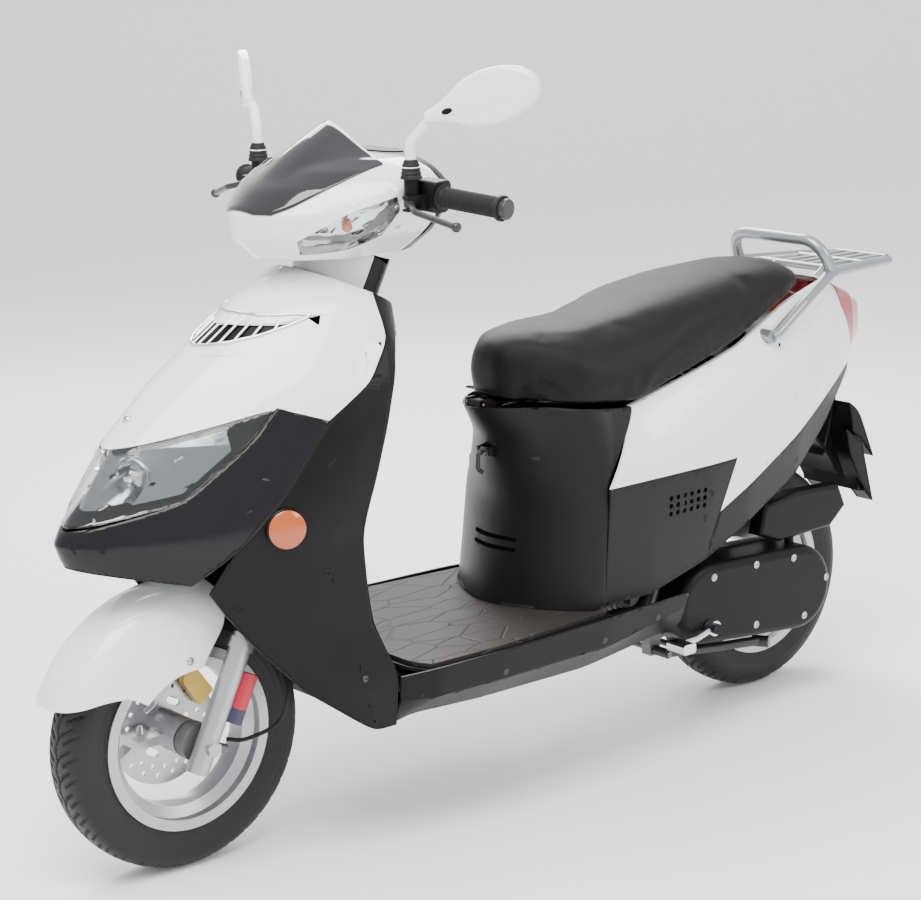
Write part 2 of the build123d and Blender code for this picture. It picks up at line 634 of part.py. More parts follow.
HEAD_LOW = YOKE_LEVEL + 2
HEAD_HIGH = 950
RAIL_Y = 105
FRAME_TUBE = 15
SHOCK_TOP = (-546, 524)
SHOCK_FOOT = (-603, 320)
SHOCK_Y = 73
right_rail = pipe(((330, -RAIL_Y, 240), (-228, -RAIL_Y, 240), (-300, -112, 420), (-335, -112, 570),
                   (-500, -112, 624), (-700, -84, 672)), FRAME_TUBE, 40)
with BuildPart() as frame_tubes:
    with BuildSketch(STEER.offset(HEAD_LOW)):
        Circle(HEAD_TUBE_RADIUS)
    extrude(amount=HEAD_HIGH - HEAD_LOW)
    add(pipe(((492, 0, 580), (450, 0, 490), (440, 0, 380), (412, 0, 262), (330, 0, 240)), 17, 20))
    add(rod((330, -RAIL_Y - 10, 240), (330, RAIL_Y + 10, 240), FRAME_TUBE + 2))
    add(right_rail)
    add(mirrored(right_rail))
    for side in (1, -1):
        add(prism(((-245, 232), (-185, 232), (-196, SWING_PIVOT_Z - 14), (-234, SWING_PIVOT_Z - 14)),
                  side * 92 - 5, side * 92 + 5))
        add(prism(((20, 225), (60, 225), (60, 283.5), (20, 283.5)), side * 100 - 8, side * 100 + 8))
    add(rod((-40, -RAIL_Y, 240), (-40, RAIL_Y, 240), FRAME_TUBE - 3))
    add(rod((-489, -108, 620), (-489, 108, 620), 7))
    add(prism(((-562, 512), (-530, 512), (-524, 626), (-568, 636)), 94, 99))
    add(rod((SHOCK_TOP[0], 61, SHOCK_TOP[1]), (SHOCK_TOP[0], 98, SHOCK_TOP[1]), 6))
    add(rod((-690, -86, 670), (-690, 86, 670), 11))
    add(rod((SWING_PIVOT_X, -98, SWING_PIVOT_Z), (SWING_PIVOT_X, 98, SWING_PIVOT_Z), 8))
    with BuildSketch(STEER.offset(HEAD_LOW - 30)):
        Circle(STEM_RADIUS + 0.08)
    extrude(amount=HEAD_HIGH - HEAD_LOW + 60, mode=Mode.SUBTRACT)
    with BuildSketch(STEER.offset(HEAD_LOW - 60)):
        Circle(60)
    extrude(amount=60, mode=Mode.SUBTRACT)
finish(frame_tubes, "frame_tubes")


# ---------------------------------------------------------------- floor, skirts and seat pillar

BOARD_THICKNESS = 5
BOARD_Z = FLOOR_Z - MAT_THICKNESS - BOARD_THICKNESS - 0.3
floor_plan = ((369, 0), (369, 180), (348, 218), (200, 223), (-60, 201), (-62, 0))
floor_plan += tuple((x, -y) for x, y in reversed(floor_plan[1:-1]))
PILLAR_STATIONS = ((298, 60, -50, 182, -64, -70), (355, 50, -60, 184, -68, -74), (474, 27, -72, 184, -80, -86),
                   (583, 42, -100, 164, -134, -140), (648, 84, -120, 142, -172, -178))
pillar_outer = egg_body(PILLAR_STATIONS, 0, (0, 0))
pillar_inner = egg_body(PILLAR_STATIONS, WALL, (-2, 2))

with BuildPart() as floor_board:
    with BuildSketch(Plane.XY.offset(BOARD_Z)):
        with BuildLine():
            Polyline(*floor_plan, close=True)
        make_face()
    extrude(amount=BOARD_THICKNESS)
finish(floor_board, "floor_board")

with BuildPart() as floor_mat:
    with BuildSketch(Plane.XY.offset(BOARD_Z + BOARD_THICKNESS + 0.3)):
        with BuildLine():
            Polyline(*floor_plan, close=True)
        make_face()
        offset(amount=-8)
    extrude(amount=MAT_THICKNESS)
    with BuildSketch(Plane.XY.offset(BOARD_Z)):
        with BuildLine():
            Bezier((61.5, 0), (61.5, 65), (-16, 184), (-50, 184))
            Line((-50, 184), (-80, 184))
            Line((-80, 184), (-80, 0))
            mirror(about=Plane.XZ)
        make_face()
    extrude(amount=20, mode=Mode.SUBTRACT)
finish(floor_mat, "floor_mat")

# Station along the machine, top edge (y, z), waist (y, z) and hem (y, z) of a skirt.
SKIRT_STATIONS = (
    (398, (200, 286), (196, 245), (176, 204)), (350, (231, 296), (222, 246), (158, 202)),
    (200, (233, 296), (220, 242), (148, 190)), (-40, (222, 296), (210, 240), (148, 188)),
    (-250, (196, 290), (190, 262), (172, 226)))
with BuildPart() as skirt:
    for x, top, waist, hem in SKIRT_STATIONS:
        with BuildSketch(cross_plane(x)):
            with BuildLine():
                Polyline(top, waist, hem, (hem[0] - 3, hem[1] + 3), (waist[0] - 4, waist[1] + 1),
                         (top[0] - 4, top[1]), close=True)
            make_face()
    loft(ruled=True)
with BuildPart() as lower_skirts:
    add(skirt.part)
    add(mirrored(skirt.part))
finish(lower_skirts, "lower_skirts")

with BuildPart() as belly_pan:
    with BuildSketch(side_plane(140)):
        with BuildLine():
            Polyline((392, 200), (200, 190), (-40, 188), (-40, 191), (200, 193), (392, 203), close=True)
        make_face()
    extrude(amount=280)
finish(belly_pan, "belly_pan")

PILLAR_SEAM = ((-166, 631), (-72, 508), (-64, 400), (-62, 296))
with BuildPart() as seat_pillar:
    add(pillar_outer - pillar_inner)
    add(prism(PILLAR_SEAM + ((200, 296), (200, 655), (40, 655), (-60, 640)), -300, 300), mode=Mode.INTERSECT)
    for level in (394, 412):
        with BuildSketch(cross_plane(0)):
            with Locations((0, level)):
                SlotOverall(110, 8)
        extrude(amount=90, mode=Mode.SUBTRACT)
    for side in (1, -1):
        add(prism(((30, 556), (52, 558), (56, 572), (30, 576)), side * 11.8 - 2, side * 11.8 + 2))
    add(rod((48, -13, 566), (48, 13, 566), 2.5))
    add(prism(((-175, 602), (-147, 602), (-147, 640), (-175, 640)), -92.4, 92.4), mode=Mode.SUBTRACT)
finish(seat_pillar, "seat_pillar")

with BuildPart() as bag_hook:
    add(pipe(((48, 0, 566), (63, 0, 562), (65, 0, 536), (55, 0, 528)), 4, 5))
    with BuildSketch(side_plane(9)):
        with Locations((48, 566)):
            Circle(6)
            Circle(2.6, mode=Mode.SUBTRACT)
    extrude(amount=18)
    with BuildSketch(side_plane(10)):
        with Locations((48, 566)):
            Circle(2.6)
    extrude(amount=20, mode=Mode.SUBTRACT)
finish(bag_hook, "bag_hook")


# ---------------------------------------------------------------- tail

# Station along the machine, top level, top half width, widest level, widest half width,
# bottom level and bottom half width.
TAIL_STATIONS = (
    (-40, 640, 150, 505, 188, 292, 180), (-170, 637, 150, 500, 190, 296, 183),
    (-320, 676, 153, 520, 190, 330, 175), (-430, 705, 150, 560, 184, 370, 165),
    (-590, 764, 122, 630, 160, 430, 135), (-700, 790, 105, 680, 128, 500, 105),
    (-790, 752, 82, 690, 95, 580, 78), (-830, 722, 62, 690, 72, 624, 58))


def tail_body(wall, ends):
    """The tail's rounded box through its upright sections, drawn in by a wall thickness."""
    with BuildPart() as body:
        for place, (x, top, top_half, wide, wide_half, low, low_half) in enumerate(TAIL_STATIONS):
            shift = ends[0] if place == 0 else ends[1] if place == len(TAIL_STATIONS) - 1 else 0
            with BuildSketch(cross_plane(x + shift)):
                with BuildLine():
                    Line((0, top - wall), (top_half - wall - 25, top - wall))
                    Bezier((top_half - wall - 25, top - wall), (top_half - wall, top - wall),
                           (wide_half - wall, wide + 50), (wide_half - wall, wide))
                    Bezier((wide_half - wall, wide), (wide_half - wall, wide - 50),
                           (low_half - wall, low + wall + 30), (low_half - wall, low + wall))
                    Line((low_half - wall, low + wall), (0, low + wall))
                    mirror(about=Plane.YZ)
                make_face()
        loft(ruled=True)
    return body.part


tail_outer = tail_body(0, (0, 0))
tail_skin = tail_outer - tail_body(WALL, (2, WALL))

SEAT_SEAM = ((-166, 631), (-320, 669), (-430, 698), (-590, 757), (-700, 782))
TRIM_TOP = ((-346, 417), (-560, 505), (-796, 612))
TRIM_LOW = ((-312, 334), (-430, 378), (-590, 438), (-700, 508), (-796, 596))
VENT_EDGE = ((-72, 508), (-384, 510), (-346, 417))
LAMP_EDGE = ((-741, 800), (-741, 731), (-792, 645), (-850, 640))

for side, name in ((1, "side_panel_left"), (-1, "side_panel_right")):
    with BuildPart() as side_panel:
        add(tail_skin)
        add(prism(SEAT_SEAM + ((-705, 800),) + LAMP_EDGE[:3] + tuple(reversed(TRIM_TOP)) + ((-384, 510), (-72, 508)),
                  min(0, side * 300) + 0.2, max(0, side * 300) - 0.2), mode=Mode.INTERSECT)
        add(rod((-505, 100, 708), (-505, 180, 708), 13), mode=Mode.SUBTRACT)
        add(rod((-505, -100, 708), (-505, -180, 708), 13), mode=Mode.SUBTRACT)
    finish(side_panel, name)

with BuildPart() as vent_panels:
    add(tail_skin)
    add(prism(VENT_EDGE + ((-312, 334), (-170, 302), (-64, 302), (-66, 400)), -300, 300), mode=Mode.INTERSECT)
    for column in range(6):
        for row in range(3):
            with BuildSketch(side_plane(300)):
                with Locations((-215 - 17 * column, 466 - 14 * row)):
                    Circle(5)
            extrude(amount=600, mode=Mode.SUBTRACT)
finish(vent_panels, "vent_panels")

with BuildPart() as tail_trims:
    add(tail_skin)
    add(prism(TRIM_TOP + tuple(reversed(TRIM_LOW)), -300, 300), mode=Mode.INTERSECT)
finish(tail_trims, "tail_trims")

with BuildPart() as tail_lamp:
    add(tail_skin)
    add(prism(LAMP_EDGE + ((-850, 800),), -300, 300), mode=Mode.INTERSECT)
finish(tail_lamp, "tail_lamp")

# The rear mudguard arches over the raised tyre; its tail carries the plate holder.
GUARD_CENTRE = (-590, 276)
with BuildPart() as rear_fender:
    with BuildSketch(side_plane(50)):
        with Locations(GUARD_CENTRE):
            Circle(243)
            Circle(240, mode=Mode.SUBTRACT)
    extrude(amount=100)
    add(prism(((-375, 400), (-600, 290), (-850, 400), (-850, 640), (-375, 640)), -100, 100), mode=Mode.INTERSECT)
    add(prism(((-772, 426), (-790, 470), (-812, 560), (-802, 600), (-796, 600), (-806, 560), (-786, 468), (-768, 424)), -40, 40))
    for side in (1, -1):
        add(prism(((-800, 530), (-826, 516), (-872, 412), (-838, 452), (-812, 470)), side * 58 - 22, side * 58 + 22))
        add(prism(((-795, 477), (-839, 446), (-873, 322), (-844, 354), (-802, 432)), side * 58 - 21, side * 58 + 21))
    add(prism(((-799, 524), (-808, 524), (-850, 346), (-841, 346)), -73, 73))
finish(rear_fender, "rear_fender")

RACK_X = -833

# The grab rail is one casting: two side bars, an arch across behind the seat, cross bars and rack slats.
with BuildPart() as grab_rail:
    for side in (1, -1):
        add(pipe(((-520, side * 152, 712), (-600, side * 145, 758), (-705, side * 118, 798),
                  (-850, side * 86, 794), (-930, side * 58, 788)), 10, 30))
        add(rod((-505, side * 118, 708), (-505, side * 156, 708), 12))
        add(rod((-520, side * 152, 712), (-505, side * 152, 708), 10))
    add(pipe(((-705, 118, 792), (-676, 112, 858), (-676, -112, 858), (-705, -118, 792)), 11, 45))
    for x, half in ((-745, 112), (-835, 92), (-922, 62)):
        add(rod((x, -half, 795), (x, half, 795), 7))
    for y in (-45, -15, 15, 45):
        with BuildSketch(Plane.XY.offset(792)):
            with Locations((RACK_X, y)):
                Rectangle(178, 14)
        extrude(amount=8)
    add(rod((-722, -60, 781), (-745, -60, 796), 6))
    add(rod((-722, 60, 781), (-745, 60, 796), 6))
    add(tail_outer, mode=Mode.SUBTRACT)
    with BuildSketch(Plane.XY.offset(780)):
        with Locations((RACK_X - 60, 45), (RACK_X - 60, -45), (RACK_X + 60, 45), (RACK_X + 60, -45)):
            Circle(3.3)
    extrude(amount=40, mode=Mode.SUBTRACT)
finish(grab_rail, "grab_rail")


# ---------------------------------------------------------------- seat, luggage box and tank

HINGE = (62, 652)
BOX_FRONT = -26
# Station along the machine, underside, top and half width of the cushion.
CUSHION_STATIONS = (
    (106, 690, 730, 58), (84, 680, 752, 88), (30, 668, 768, 118), (-60, 650, 764, 142), (-178, 638, 768, 152),
    (-320, 680, 800, 154), (-430, 710, 814, 147), (-590, 768, 822, 120), (-640, 780, 816, 100), (-660, 788, 806, 70))
with BuildPart() as seat_cushion:
    for x, low, top, half in CUSHION_STATIONS:
        with BuildSketch(cross_plane(x)):
            with BuildLine():
                Line((0, low), (half - 12, low))
                Bezier((half - 12, low), (half, low), (half, low + 6), (half, low + 14))
                Bezier((half, low + 14), (half, top - 10), (half * 0.7, top), (0, top))
                mirror(about=Plane.YZ)
            make_face()
    loft(ruled=True)
finish(seat_cushion, "seat_cushion")

PAN_TOP = [(x, low - SEAT_GAP) for x, low, top, half in CUSHION_STATIONS[1:9]]
with BuildPart() as seat_pan:
    with BuildSketch(side_plane(96)):
        with BuildLine():
            Polyline(*PAN_TOP, *[(x, z - 4) for x, z in reversed(PAN_TOP)], close=True)
        make_face()
    extrude(amount=192)
    with BuildSketch(side_plane(17)):
        with BuildLine():
            Polyline((HINGE[0] - 10, HINGE[1] - 8), (HINGE[0] + 9, HINGE[1] - 8), (HINGE[0] + 9, 672), (HINGE[0] - 16, 668), close=True)
        make_face()
    extrude(amount=34)
    with BuildSketch(Plane.XY.offset(600)):
        with Locations((-655, 0)):
            Rectangle(120, 200)
    extrude(amount=300, mode=Mode.SUBTRACT)
    with BuildSketch(side_plane(30)):
        with Locations(HINGE):
            Circle(5.1)
    extrude(amount=60, mode=Mode.SUBTRACT)
finish(seat_pan, "seat_pan")

with BuildPart() as luggage_box:
    add(prism(((BOX_FRONT, 614), (BOX_FRONT, 400), (-330, 392), (-440, 505), (-478, 520), (-478, 614)), -92, 92))
    add(prism(((BOX_FRONT - 4, 660), (BOX_FRONT - 4, 404), (-328, 396), (-438, 509), (-474, 524), (-474, 660)), -88, 88),
        mode=Mode.SUBTRACT)
    for side in (1, -1):
        add(prism(((BOX_FRONT - 3, 548), (BOX_FRONT - 3, 612), (HINGE[0] - 12, HINGE[1] + 8), (HINGE[0] + 8, HINGE[1] + 8),
                   (HINGE[0] - 1, HINGE[1] - 8), (8, 590)), side * 22 - 3, side * 22 + 3))
    add(rod((HINGE[0], -26, HINGE[1]), (HINGE[0], 26, HINGE[1]), 5))
finish(luggage_box, "luggage_box")

with BuildPart() as fuel_tank:
    add(prism(((-500, 540), (-500, 655), (-560, 690), (-670, 715), (-670, 600), (-640, 545)), -68, 68))
    with BuildSketch(Plane.XY.offset(640)):
        with Locations((-560, 0)):
            Circle(24)
    extrude(amount=72)
finish(fuel_tank, "fuel_tank")

with BuildPart() as battery:
    with BuildSketch(Plane.XY.offset(BOARD_Z - 34)):
        with Locations((110, 0)):
            Rectangle(112, 68)
    extrude(amount=33.7)
finish(battery, "battery")


# ---------------------------------------------------------------- drive unit

STAND_PIVOT = (-300, 140)
CVT_FRONT = (-350, 235)
CVT_REAR = (-595, 216)
KICK_PIVOT = (-345, 196)
with BuildPart() as crankcase:
    add(prism(((-236, 196), (-300, 160), (-372, 165), (-372, 300), (-320, 330), (-236, 318)), -60, 60))
    with BuildSketch(side_plane(CVT_INNER_Y - 0.3)):
        with BuildLine():
            Polyline((-280, 200), (-300, 300), (-380, 316), (-600, 300), (-660, 240), (-640, 160), (-580, 150), (-330, 158), close=True)
        make_face()
    extrude(amount=9)
    with BuildSketch(side_plane(80)):
        with Locations((SWING_PIVOT_X, SWING_PIVOT_Z)):
            Circle(20)
    extrude(amount=160)
    add(prism(((-215, 190), (-250, 190), (-250, 225), (-215, 222)), -74, 74))
    add(prism(((-236, 245), (-236, 322), (-130, 318), (-130, 250)), -42, 42))
    for fin in range(7):
        add(prism(((-226 + 13 * fin, 236), (-222 + 13 * fin, 236), (-222 + 13 * fin, 334), (-226 + 13 * fin, 334)), -52, 52))
    add(prism(((-131, 244), (-131, 328), (-92, 318), (-92, 252)), -48, 48))
    add(prism(((-622, 285), (-584, 285), (-592, 334), (-614, 334)), CVT_INNER_Y - 9.3, CVT_INNER_Y - 0.3))
    add(rod((SHOCK_FOOT[0], 56, SHOCK_FOOT[1]), (SHOCK_FOOT[0], SHOCK_Y + 11, SHOCK_FOOT[1]), 6))
    add(rod((REAR_AXLE_X, 56, TYRE_RADIUS), (REAR_AXLE_X, -56, TYRE_RADIUS), AXLE_RADIUS))
    add(rod((REAR_AXLE_X, -44, TYRE_RADIUS), (REAR_AXLE_X, -56, TYRE_RADIUS), 13))
    with BuildSketch(side_plane(90)):
        with Locations((SWING_PIVOT_X, SWING_PIVOT_Z)):
            Circle(8.1)
    extrude(amount=180, mode=Mode.SUBTRACT)
    for side in (1, -1):
        add(prism(((-285, 180), (-318, 175), (-310, 130), (-290, 130)), side * 45 - 12, side * 45 + 12))
    add(rod((STAND_PIVOT[0], -96, STAND_PIVOT[1]), (STAND_PIVOT[0], 96, STAND_PIVOT[1]), 5))
finish(crankcase, "crankcase")

with BuildPart() as cvt_cover:
    with BuildSketch(side_plane(CVT_OUTER_Y)):
        with Locations(CVT_FRONT):
            Circle(75)
        with Locations(CVT_REAR):
            Circle(80)
        make_hull()
    extrude(amount=CVT_OUTER_Y - CVT_INNER_Y)
    fillet(cvt_cover.edges().group_by(Axis.Y)[-1], 16)
    with BuildSketch(side_plane(CVT_OUTER_Y - 8)):
        with Locations(CVT_FRONT):
            Circle(68)
        with Locations(CVT_REAR):
            Circle(73)
        make_hull()
    extrude(amount=CVT_OUTER_Y - CVT_INNER_Y, mode=Mode.SUBTRACT)
    add(rod((KICK_PIVOT[0], CVT_OUTER_Y - 4, KICK_PIVOT[1]), (KICK_PIVOT[0], CVT_OUTER_Y + 24, KICK_PIVOT[1]), 7))
    add(rod((KICK_PIVOT[0], CVT_OUTER_Y + 18.5, KICK_PIVOT[1]), (KICK_PIVOT[0], CVT_OUTER_Y + 24, KICK_PIVOT[1]), 10))
finish(cvt_cover, "cvt_cover")

# Pulleys and drive belt of the stepless gear, inside the cover.
with BuildPart() as belt_drive:
    for centre, radius in ((CVT_FRONT, 46), (CVT_REAR, 58)):
        for inner in (CVT_INNER_Y + 10, CVT_INNER_Y + 42):
            with BuildSketch(side_plane(inner + 12)):
                with Locations(centre):
                    Circle(radius)
            extrude(amount=12)
        with BuildSketch(side_plane(CVT_INNER_Y + 60)):
            with Locations(centre):
                Circle(14)
        extrude(amount=60)
    with BuildSketch(side_plane(CVT_INNER_Y + 41.6)):
        with Locations(CVT_FRONT):
            Circle(40)
        with Locations(CVT_REAR):
            Circle(52)
        make_hull()
    extrude(amount=19)
finish(belt_drive, "belt_drive")

with BuildPart() as kick_lever:
    with BuildSketch(side_plane(CVT_OUTER_Y + 18)):
        with Locations(KICK_PIVOT):
            Circle(14)
    extrude(amount=16)
    add(pipe(((KICK_PIVOT[0], CVT_OUTER_Y + 12, KICK_PIVOT[1]), (-300, CVT_OUTER_Y + 14, 186), (-254, CVT_OUTER_Y + 16, 186)), 6, 30))
    with BuildSketch(side_plane(CVT_OUTER_Y + 50)):
        with Locations((-248, 186)):
            RectangleRounded(30, 18, 5)
    extrude(amount=44)
    with BuildSketch(side_plane(CVT_OUTER_Y + 30)):
        with Locations(KICK_PIVOT):
            Circle(7.1)
    extrude(amount=40, mode=Mode.SUBTRACT)
finish(kick_lever, "kick_lever")

with BuildPart() as air_box:
    with BuildSketch(side_plane(126)):
        with BuildLine():
            Polyline((-505, 330), (-520, 385), (-600, 396), (-722, 390), (-742, 346), (-700, 312), (-560, 308), close=True)
        make_face()
    extrude(amount=30)
    fillet(air_box.edges().group_by(Axis.Y)[-1], 8)
    add(rod((-600, 110, 294), (-600, 110, 320), 9))
    with BuildSketch(side_plane(CVT_OUTER_Y)):
        with Locations(CVT_FRONT):
            Circle(75.2)
        with Locations(CVT_REAR):
            Circle(80.2)
        make_hull()
    extrude(amount=CVT_OUTER_Y - CVT_INNER_Y, mode=Mode.SUBTRACT)
finish(air_box, "air_box")

with BuildPart() as muffler:
    add(rod((-430, -140, 232), (-790, -140, 276), 47))
    add(pipe(((-118, -10, 243), (-118, -14, 165), (-190, -110, 150), (-330, -140, 170), (-440, -140, 233)), 13, 22))
    add(rod((-340, -50, 229), (-470, -104, 237), 9))
    add(prism(((-300, 200), (-480, 200), (-480, 260), (-300, 260)), -60.3, 0), mode=Mode.SUBTRACT)
    add(rod((-778, -140, 275), (-812, -140, 279), 12))
    add(rod((-788, -140, 276), (-830, -140, 281), 9), mode=Mode.SUBTRACT)
finish(muffler, "muffler")

with BuildPart() as rear_shock:
    foot = Vector(SHOCK_FOOT[0], SHOCK_Y, SHOCK_FOOT[1])
    top = Vector(SHOCK_TOP[0], SHOCK_Y, SHOCK_TOP[1])
    way = (top - foot).normalized()
    add(rod(foot + way * 10, top - way * 10, 8))
    add(rod(foot + way * 20, top - way * 22, 20))
    for eye in (SHOCK_FOOT, SHOCK_TOP):
        add(rod((eye[0], SHOCK_Y - 10.5, eye[1]), (eye[0], SHOCK_Y + 10.5, eye[1]), 13))
        add(rod((eye[0], SHOCK_Y - 12, eye[1]), (eye[0], SHOCK_Y + 12, eye[1]), 6.2), mode=Mode.SUBTRACT)
finish(rear_shock, "rear_shock")


# ---------------------------------------------------------------- stands

with BuildPart() as centre_stand:
    add(rod((STAND_PIVOT[0], -92, STAND_PIVOT[1]), (STAND_PIVOT[0], -57.5, STAND_PIVOT[1]), 9))
    add(rod((STAND_PIVOT[0], 57.5, STAND_PIVOT[1]), (STAND_PIVOT[0], 92, STAND_PIVOT[1]), 9))
    for side in (1, -1):
        add(pipe(((STAND_PIVOT[0], side * 84, STAND_PIVOT[1]), (-440, side * 92, 124), (-520, side * 112, 122)), 9, 30))
        add(rod((-512, side * 100, 121), (-528, side * 128, 121), 11))
    add(rod((-358, -86, 133), (-358, 86, 133), 6))
    with BuildSketch(side_plane(100)):
        with Locations(STAND_PIVOT):
            Circle(5.1)
    extrude(amount=200, mode=Mode.SUBTRACT)
finish(centre_stand, "centre_stand")
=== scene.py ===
"""The looks of a moped scooter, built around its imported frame."""

import json
import math

import bmesh
import bpy
import numpy as np
from mathutils import Matrix, Vector
from mathutils.bvhtree import BVHTree


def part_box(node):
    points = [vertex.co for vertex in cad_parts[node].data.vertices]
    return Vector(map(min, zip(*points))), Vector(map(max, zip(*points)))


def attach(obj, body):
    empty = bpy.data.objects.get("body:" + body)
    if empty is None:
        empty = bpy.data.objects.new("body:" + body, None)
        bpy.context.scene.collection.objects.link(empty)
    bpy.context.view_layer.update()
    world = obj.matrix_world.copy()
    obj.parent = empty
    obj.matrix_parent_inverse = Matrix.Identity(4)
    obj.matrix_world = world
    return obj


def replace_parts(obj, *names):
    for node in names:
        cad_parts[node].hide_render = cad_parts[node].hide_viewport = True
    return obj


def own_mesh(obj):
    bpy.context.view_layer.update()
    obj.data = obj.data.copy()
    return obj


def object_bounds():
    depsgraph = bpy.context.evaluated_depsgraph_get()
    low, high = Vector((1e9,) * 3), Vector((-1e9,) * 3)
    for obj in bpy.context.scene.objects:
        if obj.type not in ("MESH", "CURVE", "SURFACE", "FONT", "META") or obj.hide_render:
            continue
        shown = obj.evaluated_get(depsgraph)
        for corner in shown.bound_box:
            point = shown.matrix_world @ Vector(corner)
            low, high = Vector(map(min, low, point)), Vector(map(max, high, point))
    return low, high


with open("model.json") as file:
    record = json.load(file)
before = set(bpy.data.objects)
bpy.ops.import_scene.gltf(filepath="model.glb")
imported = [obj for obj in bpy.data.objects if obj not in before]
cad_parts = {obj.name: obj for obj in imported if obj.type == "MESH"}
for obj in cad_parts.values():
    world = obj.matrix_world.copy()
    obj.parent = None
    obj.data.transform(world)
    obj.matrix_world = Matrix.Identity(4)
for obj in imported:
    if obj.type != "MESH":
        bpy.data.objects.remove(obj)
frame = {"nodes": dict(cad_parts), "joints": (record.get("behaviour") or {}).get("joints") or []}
cad_low, cad_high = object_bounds()
joint_at = {joint["name"]: joint for joint in frame["joints"]}


# ------------------------------------------------------------------ gloss body panels
# The white panels are ABS mouldings about 4 mm thick, sprayed white and lacquered.
# They clip to each other along the seams and screw to brackets on the frame.

MM = 0.001


def new_group(name, inputs, outputs):
    """An empty shader group with its sockets, and its two end nodes."""
    group = bpy.data.node_groups.new(name, "ShaderNodeTree")
    for label, kind, value in inputs:
        socket = group.interface.new_socket(label, in_out="INPUT", socket_type="NodeSocket" + kind)
        if value is not None:
            socket.default_value = value
    for label, kind in outputs:
        group.interface.new_socket(label, in_out="OUTPUT", socket_type="NodeSocket" + kind)
    return group, group.nodes.new("NodeGroupInput"), group.nodes.new("NodeGroupOutput")


def joined(tree, kind, links=(), **settings):
    """A node with its settings and its incoming links."""
    node = tree.nodes.new(kind)
    for key, value in settings.items():
        setattr(node, key, value)
    for target, source in links:
        if hasattr(source, "node"):
            tree.links.new(source, node.inputs[target])
        else:
            node.inputs[target].default_value = source
    return node


def build_grain_group():
    """Fine moulding grain and slow cloudy changes of colour and gloss, worked out from the object's place."""
    group, start, end = new_group(
        "Surface grain",
        [("Colour", "Color", (0.5, 0.5, 0.5, 1)), ("Worn Colour", "Color", (0.6, 0.6, 0.6, 1)),
         ("Grain Scale", "Float", 900.0), ("Cloud Scale", "Float", 7.0), ("Roughness", "Float", 0.4),
         ("Roughness Spread", "Float", 0.1)],
        [("Colour", "Color"), ("Roughness", "Float"), ("Height", "Float")])
    place = group.nodes.new("ShaderNodeTexCoord")
    cloud = joined(group, "ShaderNodeTexNoise",
                   [("Vector", place.outputs["Object"]), ("Scale", start.outputs["Cloud Scale"]),
                    ("Detail", 4.0)])
    grain = joined(group, "ShaderNodeTexNoise",
                   [("Vector", place.outputs["Object"]), ("Scale", start.outputs["Grain Scale"]),
                    ("Detail", 2.0)])
    tint = joined(group, "ShaderNodeMix",
                  [(0, cloud.outputs["Fac"]), (6, start.outputs["Colour"]),
                   (7, start.outputs["Worn Colour"])],
                  data_type="RGBA")
    spread = joined(group, "ShaderNodeMath",
                    [(0, cloud.outputs["Fac"]), (1, start.outputs["Roughness Spread"]),
                     (2, start.outputs["Roughness"])], operation="MULTIPLY_ADD")
    group.links.new(tint.outputs[2], end.inputs["Colour"])
    group.links.new(spread.outputs[0], end.inputs["Roughness"])
    group.links.new(grain.outputs["Fac"], end.inputs["Height"])
    return group


grain_group = build_grain_group()


def finish(name, colour, worn, roughness, spread=0.08, grain=900.0, cloud=7.0, depth=0.0, **sockets):
    """A material whose colour, gloss and grain come from the grain group."""
    material = bpy.data.materials.new(name)
    material.use_nodes = True
    tree = material.node_tree
    shader = tree.nodes["Principled BSDF"]
    skin = joined(tree, "ShaderNodeGroup", node_tree=grain_group)
    skin.inputs["Colour"].default_value = (*colour, 1)
    skin.inputs["Worn Colour"].default_value = (*worn, 1)
    skin.inputs["Grain Scale"].default_value = grain
    skin.inputs["Cloud Scale"].default_value = cloud
    skin.inputs["Roughness"].default_value = roughness - spread / 2
    skin.inputs["Roughness Spread"].default_value = spread
    tree.links.new(skin.outputs["Colour"], shader.inputs["Base Color"])
    tree.links.new(skin.outputs["Roughness"], shader.inputs["Roughness"])
    if depth:
        bump = joined(tree, "ShaderNodeBump", [("Height", skin.outputs["Height"]), ("Strength", 1.0)])
        bump.inputs["Distance"].default_value = depth
        tree.links.new(bump.outputs["Normal"], shader.inputs["Normal"])
    for key, value in sockets.items():
        shader.inputs[key.replace("_", " ")].default_value = value
    return material


def dress(piece, material):
    """Gives a piece its one material."""
    piece.data.materials.clear()
    piece.data.materials.append(material)
    return piece


def new_piece(name, bm, body, material, crease=40.0):
    """A finished mesh as a piece that rides on a body, smooth but for its sharp edges."""
    mesh = bpy.data.meshes.new(name)
    bm.normal_update()
    bm.to_mesh(mesh)
    bm.free()
    mesh.shade_smooth()
    mesh.set_sharp_from_angle(angle=math.radians(crease))
    piece = bpy.data.objects.new(name, mesh)
    bpy.context.scene.collection.objects.link(piece)
    dress(piece, material)
    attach(piece, body)
    return piece


def refine(bm, longest):
    """Splits every edge over a length, a few times, and evens out the triangles."""
    for _ in range(6):
        bmesh.ops.triangulate(bm, faces=bm.faces)
        long_edges = [edge for edge in bm.edges if edge.calc_length() > longest]
        if not long_edges:
            break
        bmesh.ops.subdivide_edges(bm, edges=long_edges, cuts=1)
    bmesh.ops.triangulate(bm, faces=bm.faces)


